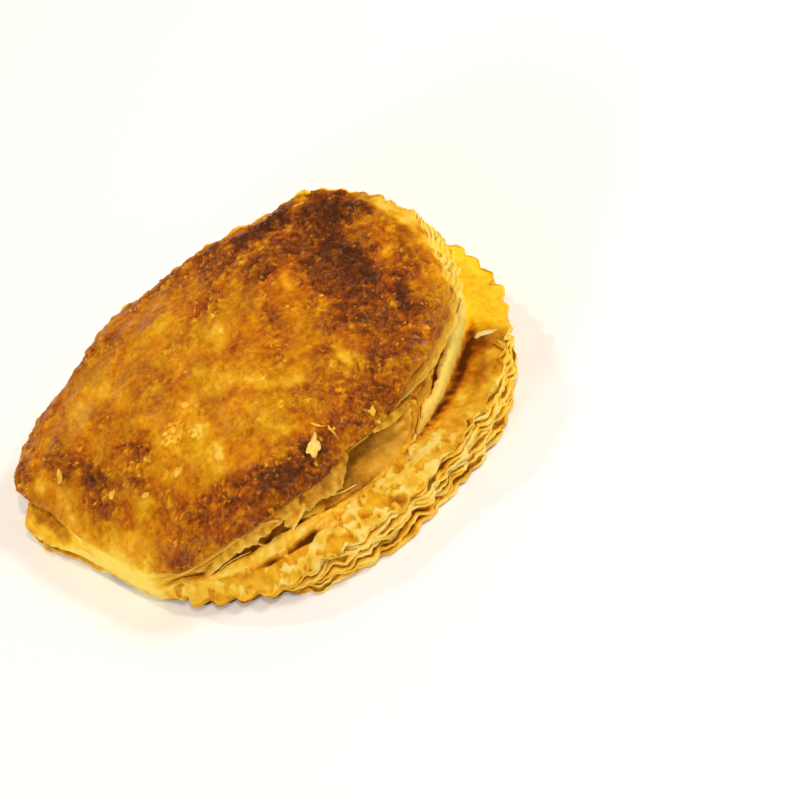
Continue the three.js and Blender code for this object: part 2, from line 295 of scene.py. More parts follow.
# The heights and depths that the parts of the side share
def edge_shape():
    shape = {
        "rim": around(RIM_HEIGHT, ANGLE),
        "rim_lean": around(RIM_LEAN, ANGLE),
        "rise": around(SHELF_RISE, ANGLE),
        "shelf": around(RIM_WIDTH, ANGLE) + 1.5 * near_angle(*RIDGE),
        "top": around(TOP_HEIGHT, ANGLE) + uneven("crust_edge", ALONG),
        "inset": around(TOP_INSET, ANGLE) + uneven("crust_inset", ALONG),
        "gap": around(GAP_DEPTH, ANGLE) + uneven("gap", ALONG),
        "lip": around(LIP_HEIGHT, ANGLE) * (1 + uneven("lip", ALONG) + 0.25 * wander(6, 11)),
        "lip_width": around(LIP_WIDTH, ANGLE) * (1 + 0.25 * wander(9, 12) + 0.15 * wander(2.5, 13)),
    }
    shape["lip"] = shape["lip"] + RIDGE_HEIGHT * near_angle(*RIDGE) * (1 + 0.3 * wander(5, 14))
    shape["lip_width"] = shape["lip_width"] + 0.8 * near_angle(*RIDGE) + 2.2 * near_angle(-14, 6)
    shape["under"] = shape["top"] - around(TOP_EDGE, ANGLE)
    shape["base"] = shape["rim"] + shape["rise"] + 0.3 * SHELF_CROWN
    return shape


# Thin leaves of one layered edge, from low to high, with ragged and broken tips and hollows between them.
# Hollows and the feet under the leaves get painted shade, and the tips a painted highlight.
# Where the edge is smooth, its leaves run together into one roll that is tucked in below.
def add_leaves(rows, leaves, shape_inset, lean, low, high):
    count, seed, depth_share, smooth = leaves["count"], leaves["seed"], leaves["depth"], leaves["smooth"]
    leafy = 1 - smooth
    pitch = (high - low) / count
    thick = 1 + 0.5 * wander(6, seed + 11)
    swing = np.minimum(1, (high - low) / FULL_SWAY_HEIGHT)
    for k in range(count + 1):
        share = k / count
        spread = uneven(leaves["kind"], ALONG, 23 * leaves["steps"] * share)
        ragged = (0.7 * wander(4, seed, 1.5 * k) + 0.6 * wander(1.6, seed + 1, k)) * (0.2 + 0.8 * leafy)
        sway = swing * (uneven("leaf_height", ALONG, 31 * leaves["steps"] * share) + 3.4 * wander(7, seed + 2, 2.4 * k))
        sway = np.clip(sway * min(k, 1), -0.95 * pitch, 0.95 * pitch) * (0.3 + 0.7 * leafy) * leaves["sway"]
        broken = 3.4 * np.clip(wander(7, seed + 3, 3 * k) - 0.14, 0, 1) * depth_share * leafy
        chaos = leaves["chaos"]
        lag = chaos * (0.08 * math.sin(k * 2.1) + 0.2 * wander(12, seed + 4, 4 * k))
        flutes = leaves["flutes"] * np.clip(0.9 + 0.9 * chaos * wander(9, seed + 5, 4 * k), 0.1, 1.7)
        flutes = flutes * (1 + leaves["spread"] * (share - 0.5))
        tuck = leaves["tuck"] * smooth * (1 - share) ** 1.5
        tip = shape_inset + lean * (1 - share) + spread + ragged * (0.4 + 0.6 * depth_share) + broken + tuck
        tip = tip - fluting(flutes, lag)
        z = low + pitch * k + sway
        half = np.minimum(0.27 * pitch, 0.6) * (1 + 0.9 * wander(4, seed + 6, 2 * k)) * thick
        dough = leaves["dough"] * leafy + smooth
        baked = leaves["glaze"] * smooth * smoothstep(share, 0.4, 0.85)
        own = 1 - baked
        rolled = np.interp(share, *leaves["rolled_toast"]) + 0.1 * wander(6, seed + 9, 2 * k)
        brown = (leaves["toast"] + 0.34 * depth_share * wander(6, seed + 7, 3 * k)) * leafy + rolled * smooth
        # pale: how much paler the leaf tips are painted, a painted highlight
        pale = leaves["pale"] * leafy
        olive = leaves["olive"] * (0.6 + 0.8 * wander(9, seed + 10, 2 * k))
        if k > 0:
            rows.add(tip + 0.7 * leafy, z - half * 1.2, own, (brown + 0.2 * leafy) * own, 0.3, baked, olive)
            rows.add(tip + 0.12, z - half, dough * own, (brown - 0.2 * pale) * own, 0.15, baked, olive)
        rows.add(tip, z, dough * own, (brown - pale) * own, 0.1, baked, olive)
        rows.add(tip + 0.12, z + half, dough * own, (brown - 0.6 * pale) * own, 0.15, baked, olive)
        if k < count:
            # hollow: how much darker the hollow between two leaves is painted, a painted shade
            depth = 0.35 + depth_share * (0.5 + 2.6 * wander(5, seed + 8, 2 * k) + 0.7 * broken)
            depth = np.maximum(depth, 0.3) * leafy
            hollow = leaves["hollow"] * leafy * (0.4 + 0.6 * depth_share)
            rows.add(tip + 0.35 + 0.3 * depth, z + half * 1.4, own, (brown + 0.3 * hollow) * own, 0.3, baked, olive)
            rows.add(tip + depth, z + pitch * 0.5, own, (brown + hollow) * own, 0.3, baked, olive)


# How strongly a patch of the shelf that lies across it at some angles is browned there
def shelf_patch(degrees, width, inset, depth, strength, at):
    return strength * near_angle(degrees, width) * np.exp(-(((at - inset) / depth) ** 2))


# Smooth yellow at the tip, a brown stripe along the lip's foot, and orange and cream elsewhere
SHELF_PATCHES = [
    (-20, 3.5, 7.5, 2.6, 0.5), (-20, 2.5, 2.5, 3, 0.3),
    (-29, 4, 5.5, 2.2, 0.4), (-29, 3, 9, 2, 0.15), (-27, 2.5, 2.2, 1.2, 0.25),
    (-41, 4, 9.5, 1.5, 0.1), (-36, 3, 6, 2, 0.18), (-46, 2, 5, 1.5, 0.14),
    (-64, 4, 5, 2.5, 0.25), (-72, 3, 1.5, 1.6, 0.32), (-66, 2, 2, 1.4, 0.2),
    (-81, 3, 2.5, 1.4, 0.25), (-89, 3, 1.8, 1.3, 0.2), (-95, 5, 5.5, 2, 0.18),
    (-103, 2.5, 2, 1.2, 0.2), (-112, 3, 4, 1.5, 0.12), (-124, 3, 2.5, 1.2, 0.14),
]


def shelf_toast(at):
    stripe_place = np.interp(DEGREES, [-60, -36, -28, -14], [10.6, 12.6, 11.8, 10.2])
    stripe = 0.85 * between(-56, -13, 3) * np.exp(-(((at - stripe_place) / 1.6) ** 2))
    stripe *= 0.7 + 0.35 * near_angle(-23, 7) - 0.3 * near_angle(-50, 8) + 0.6 * wander(2.2, 76, at) + 0.3 * wander(0.9, 77, at)
    stripe_edge = 0.22 * between(-75, -14, 5) * smoothstep(at, stripe_place - 4, stripe_place)
    patches = sum(shelf_patch(*patch, at) for patch in SHELF_PATCHES)
    pale = -0.1 * between(-16, 40, 3)
    return 0.14 + stripe + 0.5 * stripe_edge + patches + pale


# Where the skin of the shelf has flaked off, 1, with crisp edges
def flaked_skin(inset):
    place = np.column_stack([ALONG / 2.4, np.broadcast_to(inset, COUNT), 0 * ALONG])
    fine = level_ring(REACH - inset, 0.0)
    broken = noise(place, 3.4, 71) + 0.5 * noise(fine, 2.6, 72) + 0.3 * noise(fine, 1.2, 73) + 0.15 * noise(fine, 0.6, 74)
    return smoothstep(broken, -0.02, 0.06) * (1 - between(-46, 60, 4)) * (1 - 0.45 * between(-180, -118, 6))


# The shelf on top of the rim, from the leaves in to the inner dough
def add_shelf(rows, shape):
    smooth_tip = between(-17, 50, 3)
    for k in range(1, SHELF_STEPS + 1):
        t = k / SHELF_STEPS
        bulge = math.sin(0.5 * math.pi * min(t / 0.45, 1)) if t < 0.45 else 1 - 0.7 * ((t - 0.45) / 0.55) ** 1.5
        hump = (SHELF_CROWN + uneven("shelf", ALONG)) * bulge
        groove = 1.3 * between(-117, -92, 5) * math.exp(-(((t - 0.86) / 0.07) ** 2))
        at = shape["shelf"] * t
        flaked = flaked_skin(at)
        z = shape["rim"] + shape["rise"] * t + hump - groove + 0.7 * (flaked - 0.5) * math.sin(math.pi * min(t * 2, 0.5))
        # the groove along the lip's foot is painted darker, a painted shade
        groove_shade = 0.62 * between(-117, -90, 6) * math.exp(-(((t - 0.88) / 0.08) ** 2)) * (1 + wander(4, 78))
        dough = 0.5 - 0.35 * between(-60, -14, 4) + 0.45 * flaked
        skin = (0.12 + 0.24 * between(-180, -132, 6) * (0.6 + wander(3, 80, at))) * (1 - flaked) * (1 - between(-60, 60, 4))
        ease = smoothstep(t, 0, 0.2)
        edge_fluting = fluting(0.9) * (1 - ease)
        toast = shelf_toast(at) + groove_shade + skin - 0.12 * flaked + 0.1 * wander(1.8, 79, at)
        golden = 0.8 * smooth_tip + 0.35 * between(-150, -60, 6) * (1 - flaked)
        rows.add(at - edge_fluting, z, dough, toast, 1.0 - 0.85 * smooth_tip, 0.0, 0.5 * groove_shade - golden)


# The rim of inner dough that stands up between the shelf and the gap
def add_lip(rows, shape):
    profile = [(0.02, 0.3), (0.06, 0.6), (0.12, 0.84), (0.24, 0.96), (0.45, 1.0), (0.7, 0.98), (0.9, 0.92), (1.0, 0.6)]
    bright = between(-50, 40, 6)
    at_pocket = between(-84, -50, 4)
    for across, steep in profile:
        up = steep * bright + math.sin(0.5 * math.pi * min(1, across / 0.6)) * (1 - bright)
        brown = 0.2 - 0.26 * bright + 0.16 * (1 - up) * bright + 0.12 * at_pocket + 0.14 * wander(5, 15, 3 * across)
        brown = brown + (0.2 - 0.12 * bright) * wander(1.6, 16, 4 * across)
        ragged = 0.6 * wander(3, 17, 4 * across) + (0.3 + 0.2 * bright) * wander(1.3, 18, 3 * across)
        inset = shape["shelf"] + shape["lip_width"] * across + ragged * math.sin(math.pi * across)
        height = shape["base"] + (shape["lip"] + 0.5 * ragged) * up
        rows.add(inset, height, 1.0, brown, 0.65, 0.0, -0.15 - 0.15 * bright)


# Smooth line through a list of points
def smooth_line(points, steps):
    ends = [np.array(point, float) for point in (points[0], *points, points[-1])]
    for part in range(len(points) - 1):
        a, b, c, d = ends[part:part + 4]
        for k in range(steps):
            t = (k + 1) / steps
            bend = 2 * a - 5 * b + 4 * c - d
            yield 0.5 * (2 * b + (c - a) * t + bend * t * t + (3 * b - a - 3 * c + d) * t**3)


# Edges of torn leaves on the gap's wall: place from low to high, half width, how far they stand out, and seed
WALL_LEAVES = [(0.4, 0.06, 0.8, 401), (0.56, 0.05, 1.1, 411), (0.7, 0.05, 1.0, 421), (0.84, 0.045, 0.8, 431)]


def wall_leaves(t):
    standing = 0.0
    for place, half, reach_out, seed in WALL_LEAVES:
        from_edge = (t - place - 0.1 * wander(10, seed) - 0.04 * wander(3, seed + 1)) / half
        shape = np.where(from_edge < 0, np.exp(-4 * from_edge**2), np.exp(-0.35 * from_edge**2))
        standing = standing + reach_out * shape * smoothstep(wander(7, seed + 2), -0.25, 0.15)
    return standing


# The inner dough in the gap, from the crease behind the lip up to the crust's underside
def add_gap(rows, shape):
    base, under = shape["base"], shape["under"]
    behind = shape["shelf"] + shape["lip_width"]
    rise = under - base
    depth = 0.9 + 0.3 * wander(5, 21)
    opening = 0.35
    slit = 0.0
    for degrees, half_length, slit_depth, slit_opening in SLITS:
        here = np.clip(1 - ((DEGREES - degrees) / half_length) ** 2, 0, 1)
        depth = depth + slit_depth * np.sqrt(here)
        opening = opening + slit_opening * here
        slit = slit + np.sqrt(here)
    pocket = between(-82, -50, 3)
    crease = (behind + depth, base + 0.1 * shape["lip"] + 0.3 * opening)
    above = (behind + 0.8 + 0.25 * depth, base + 0.45 * shape["lip"] + opening)
    low = (shape["shelf"] + LIP_THICKNESS + np.maximum(1.3, 0.6 * shape["gap"]) + 0.8, base + 0.9 + 0.26 * rise)
    hollow = around(WALL_INSET, ANGLE) + POCKET_DEPTH * pocket
    high = (np.maximum(shape["inset"] + hollow, behind + 0.4) + uneven("gap", ALONG), base + 0.66 * rise)
    end = (shape["inset"] + around(TOP_LEAN, ANGLE) + 1.7, under - 0.5)
    start = (behind + 0.15, base + 0.3 * shape["lip"])
    line = list(smooth_line([start, crease, above, low, high, end], WALL_STEPS // 5 + 1))
    for i, (inset, height) in enumerate(line):
        t = i / (len(line) - 1)
        crease_shade = math.exp(-(((t - 0.18) / 0.12) ** 2))
        # the wall is painted darker high up under the crust's overhang, a painted shade
        under_crust_shade = float(smoothstep(t, 0.5, 0.95))
        leaf = wall_leaves(t) * (1 - 0.8 * pocket) * (1 - crease_shade)
        # the pocket is painted darker, a painted shade, and its lower part paler, a painted light
        light = pocket * smoothstep(DEGREES, -80, -60) * (1 - smoothstep(t, 0.3, 0.85))
        shade = 0.56 + 0.16 * crease_shade * (1 - pocket) + 0.12 * under_crust_shade + 0.16 * pocket - 0.42 * light - 0.4 * leaf
        # inside the slits the wall is painted paler, a painted light against the shade there
        brown = shade + 0.14 * wander(6, 22, 3 * t) - 0.3 * slit * crease_shade
        relief = 0.8 - 0.6 * np.minimum(slit, 1) * (t < 0.5) - 0.45 * pocket
        olive = (0.35 + 0.3 * wander(4, 23, 6 * t)) * pocket + 0.1 * leaf
        rows.add(inset - leaf, height, 1.0, brown, relief, 0.0, olive)


# The whole side, from the base up to the crust's edge
def side_rows(shape):
    rows = Rows()
    petals = between(-175, -109, 6)
    rows.add(BASE_BEVEL + np.maximum(shape["rim_lean"], 0) + 1.2 * petals - fluting(0.45), 0, 0.3, 0.75, 0)
    rim, top = shape["rim"], shape["top"]
    # hollow, pale: painted shade and painted highlight; petals' dark foot: baked underside and painted shade
    rim_leaves = {
        "count": RIM_LEAVES, "seed": 200, "kind": "rim_leaf", "steps": 8, "flutes": 0.5 + 0.45 * between(-12, 70, 5) + 0.75 * petals, "chaos": 0.45,
        "depth": 1 - 0.7 * between(-12, 62, 5), "toast": 0.22 - 0.06 * between(-60, -12, 8), "dough": 0.95, "hollow": 0.62, "pale": 0.14,
        "smooth": petals, "tuck": 2.4, "spread": 0.65 + 0.1 * petals, "glaze": 0.0,
        "rolled_toast": ([0, 0.35, 0.6, 1], [0.95, 0.8, 0.34, 0.2]), "sway": 1 - 0.8 * between(-12, 62, 5),
        "olive": -0.1 - 0.2 * between(-40, 60, 8),
    }
    add_leaves(rows, rim_leaves, 0.0, shape["rim_lean"], 0.08 * rim, rim)
    add_shelf(rows, shape)
    add_lip(rows, shape)
    add_gap(rows, shape)
    tip_side = between(-34, 62, 8)
    # hollow and pale: painted shade in the hollows between leaves and a painted highlight on their tips
    crust_leaves = {
        "count": CRUST_LEAVES, "seed": 500, "kind": "crust_leaf", "steps": 4, "chaos": 0.12,
        "flutes": around(TOP_FLUTING, ANGLE), "depth": around(TOP_LEAFINESS, ANGLE) * (1 - 0.75 * tip_side),
        "toast": 0.3 - 0.26 * tip_side, "dough": 0.95, "hollow": 0.36 - 0.18 * tip_side, "pale": 0.2 - 0.12 * tip_side,
        "smooth": between(-178, -16, 7), "tuck": 0.9, "spread": 0.0, "glaze": 1.0,
        "rolled_toast": ([0, 0.25, 0.6, 1], [0.12, 0.36, 0.46, 0.4]), "sway": 1.0,
        "olive": 0.1 * between(-150, -45, 8) + 0.3 * between(-44, -16, 6) - 0.5 * between(-14, 62, 5),
    }
    add_leaves(rows, crust_leaves, shape["inset"], around(TOP_LEAN, ANGLE), shape["under"], top)
    return rows


# The folded sheets at the far half of the fold, by height: how far they lie in, and how brown they are,
# with painted shade at the foot and in the recesses between the sheets
FAR_FOLD_INSET = ([0, 1.2, 1.9, 2.6, 3.6, 4.4, 6, 8, 9.6, 11.2, 12.6, 13.4],
                  [-2.6, -3.4, -2.8, 0.6, 0.8, -2.6, -2.4, -0.8, 1.2, 3.8, 2.6, 0])
FAR_FOLD_TOAST_AND_SHADE = ([0, 0.8, 1.4, 2, 2.6, 3.6, 4.2, 5, 6, 8.5, 10, 11.8, 12.7, 13.6],
                  [0.85, 0.5, 0.12, 0.3, 0.85, 0.85, 0.04, 0.04, 0.24, 0.32, 0.58, 0.75, 0.08, 0.2])
FAR_CORNER_CUT = 4.5
# The low edge of the fold's near half, by height: how far it lies in, and how brown it is, darkest at the foot, part
# baked underside and part painted shade under the lip
NEAR_FOLD_INSET = ([0, 0.6, 1.1, 1.8, 2.6, 3.4, 6], [1.2, 0.9, -0.5, -0.7, 0.3, 0.5, 0])
NEAR_FOLD_TOAST_AND_SHADE = ([0, 0.7, 1.2, 2, 2.8, 4, 8, 14], [0.95, 0.8, 0.1, 0, 0.14, -0.08, -0.06, 0.02])


# The fold's wall takes the place of the leaves at the folded end: sheets in tiers at its far half and one
# smooth, pale bend at its near half
def with_fold(rows, shape):
    inset_top = around(TOP_INSET, ANGLE)
    far = near_angle(166, 13)
    corner_cut = FAR_CORNER_CUT * near_angle(155, 8)
    last = len(rows.columns["inset"]) - 1
    for i in range(last + 1):
        share = i / last
        turn = FOLD_TURN * share - math.pi / 2
        wall_inset = BASE_BEVEL + inset_top * share - FOLD_ROUND * math.cos(turn)
        wall_height = shape["top"] * (1 + math.sin(turn)) / (1 + math.sin(FOLD_TURN - math.pi / 2))
        at = wall_height + 1.0 * wander(9, 300) + 0.4 * wander(3, 301)
        streaks = 0.12 * wander(7, 311, 5 * share) + 0.12 * wander(2.5, 312, at)
        near_toast_and_shade = np.interp(at, *NEAR_FOLD_TOAST_AND_SHADE)
        toast = near_toast_and_shade + (np.interp(at, *FAR_FOLD_TOAST_AND_SHADE) - near_toast_and_shade) * np.minimum(1, 1.5 * far) + streaks
        baked = smoothstep(share, 0.84, 1.0)
        targets = {
            "inset": wall_inset, "height": wall_height, "dough": 0.85 * (1 - baked),
            "toast": toast * (1 - baked), "relief": 1.2, "baked": baked,
            "olive": -0.35 * smoothstep(wall_height, 2, 6),
        }
        for key, target in targets.items():
            rows.columns[key][i] = rows.columns[key][i] * (1 - FOLD) + target * FOLD
        height = rows.columns["height"][i]
        tier = np.interp(height + 0.5 * wander(9, 300), *FAR_FOLD_INSET) * near_angle(169, 10)
        low_edge = np.interp(height + 0.9 * wander(5, 302), *NEAR_FOLD_INSET) * FOLD * (1 - near_angle(169, 13))
        tier = tier + low_edge * (1 + 0.5 * wander(3, 303))
        rows.columns["inset"][i] = rows.columns["inset"][i] + tier + corner_cut * (1 - smoothstep(height, 10, 12.5))


# Points of the crust at one share of the way out; near its edge it follows the ragged leaves
def crust_ring(share, shape, edge_shift):
    smooth_radius = REACH - around(TOP_INSET, ANGLE)
    radius = smooth_radius * share + edge_shift * np.exp(-(1 - share) * smooth_radius / EDGE_REACH)
    x, y = radius * np.cos(ANGLE), radius * np.sin(ANGLE)
    crown = CROWN_HEIGHT + CROWN_RISE * x
    fall = (shape["top"] - crown) * share ** around(CROWN_FALL, ANGLE)
    near_edge = math.exp(-(((share - ROLL_PLACE) / ROLL_WIDTH) ** 2))
    roll = ROLL_HEIGHT * near_edge * (1 - 0.7 * FOLD)
    relief = uneven("swell", x, y) + uneven("dimple", x, y) + uneven("blister", x, y)
    return np.column_stack([x, y, crown + fall + roll + relief * (1 - share**8)])


# Joins two rings of points, given by their first index and size, of which one may have twice as many
def join(faces, low, high):
    (a, n), (b, m) = low, high
    i = np.arange(min(n, m))
    if n == m:
        faces.append(np.column_stack([a + i, a + (i + 1) % n, b + (i + 1) % m, b + i]))
    elif n > m:
        left, middle, right = a + 2 * i, a + 2 * i + 1, a + (2 * i + 2) % n
        up, next_up = b + i, b + (i + 1) % m
        for corners in ((left, middle, up), (middle, next_up, up), (middle, right, next_up)):
            faces.append(np.column_stack([*corners, np.full(len(i), -1)]))
    else:
        left, middle, right = b + 2 * i, b + 2 * i + 1, b + (2 * i + 2) % m
        down, next_down = a + i, a + (i + 1) % n
        for corners in ((middle, left, down), (middle, down, next_down), (right, middle, next_down)):
            faces.append(np.column_stack([*corners, np.full(len(i), -1)]))


# Joins a ring to one middle point, on the base or on the crust
def close_ring(faces, ring, middle, upward):
    first, n = ring
    i = np.arange(n)
    here, following = first + i, first + (i + 1) % n
    pair = (here, following) if upward else (following, here)
    faces.append(np.column_stack([np.full(n, middle), *pair, np.full(n, -1)]))


class Skin:
    """Rings of points with what the surface is at each, and the share of the way out that they lie at"""

    KEYS = ("dough", "toast", "relief", "baked", "olive", "side", "share")

    def __init__(self):
        self.points, self.rings, self.faces, self.total = [], [], [], 0
        self.values = {key: [] for key in self.KEYS}

    def add(self, points, *values):
        self.points.append(points)
        for key, value in zip(self.KEYS, values):
            self.values[key].append(np.broadcast_to(value, len(points)).astype(float))
        self.rings.append((self.total, len(points)))
        self.total += len(points)


UNDERSIDE = (0.3, 0.7, 0.0, 0.0, 0.0, 1.0, 1.0)  # what the base's surface is, in the order of the skin's keys


def level_ring(radius, height):
    return np.column_stack([radius * np.cos(ANGLE), radius * np.sin(ANGLE), np.broadcast_to(height, COUNT)])


# The whole skin before its fine relief
def pastry_skin():
    shape = edge_shape()
    rows = side_rows(shape)
    with_fold(rows, shape)
    skin = Skin()
    for times, share in ((3, 0.25), (3, 0.45), (2, 0.6), (1, 0.78), (1, 0.88), (0, 0.95)):
        skin.add(level_ring(REACH * share - BASE_BEVEL, 0.0)[:: 2**times], *UNDERSIDE)
    for inset, height, *surface in zip(*rows.columns.values()):
        skin.add(level_ring(REACH - inset, height), *surface, 1.0, 1.0)
    ring_count = int(60 / CRUST_STEP)
    edge_shift = around(TOP_INSET, ANGLE) - rows.columns["inset"][-1]
    for k in range(1, ring_count):
        share = 1 - k / ring_count
        times = int(share < 0.5) + int(share < 0.25) + int(share < 0.12)
        skin.add(crust_ring(share, shape, edge_shift)[:: 2**times], 0.0, 0.0, 1.0, 1.0, 0.0, 0.0, share)
    for low, high in zip(skin.rings, skin.rings[1:]):
        join(skin.faces, low, high)
    close_ring(skin.faces, skin.rings[0], skin.total, False)
    close_ring(skin.faces, skin.rings[-1], skin.total + 1, True)
    middle_height = CROWN_HEIGHT + uneven("swell", 0, 0) + uneven("dimple", 0, 0) + uneven("blister", 0, 0)
    skin.add(np.array([[0, 0, 0]]), *UNDERSIDE)
    skin.add(np.array([[0, 0, middle_height]]), 0.0, 0.0, 1.0, 1.0, 0.0, 0.0, 0.0)
    values = {key: np.concatenate(parts) for key, parts in skin.values.items()}
    return np.concatenate(skin.points), np.concatenate(skin.faces), values


# Turns points and faces (with -1 for a missing fourth corner) into a mesh
def make_mesh(name, points, faces, attributes=None):
    mesh = bpy.data.meshes.new(name)
    corners = [tuple(int(i) for i in face if i >= 0) for face in faces]
    mesh.from_pydata([tuple(p) for p in np.asarray(points)], [], corners)
    for key, values in (attributes or {}).items():
        layer = mesh.attributes.new(key, "FLOAT", "POINT")
        layer.data.foreach_set("value", np.asarray(values, dtype=np.float32))
    mesh.polygons.foreach_set("use_smooth", np.ones(len(mesh.polygons), dtype=bool))
    mesh.update()
    return mesh


# Unit normals at the points
def point_normals(points, faces):
    normals = np.zeros_like(points)
    quad = faces[:, 3] >= 0
    four, three = faces[quad], faces[~quad]
    across = np.cross(points[four[:, 2]] - points[four[:, 0]], points[four[:, 3]] - points[four[:, 1]])
    corner = np.cross(points[three[:, 1]] - points[three[:, 0]], points[three[:, 2]] - points[three[:, 0]])
    for k in range(4):
        np.add.at(normals, four[:, k], across)
    for k in range(3):
        np.add.at(normals, three[:, k], corner)
    return normals / np.maximum(np.linalg.norm(normals, axis=1, keepdims=True), 1e-12)


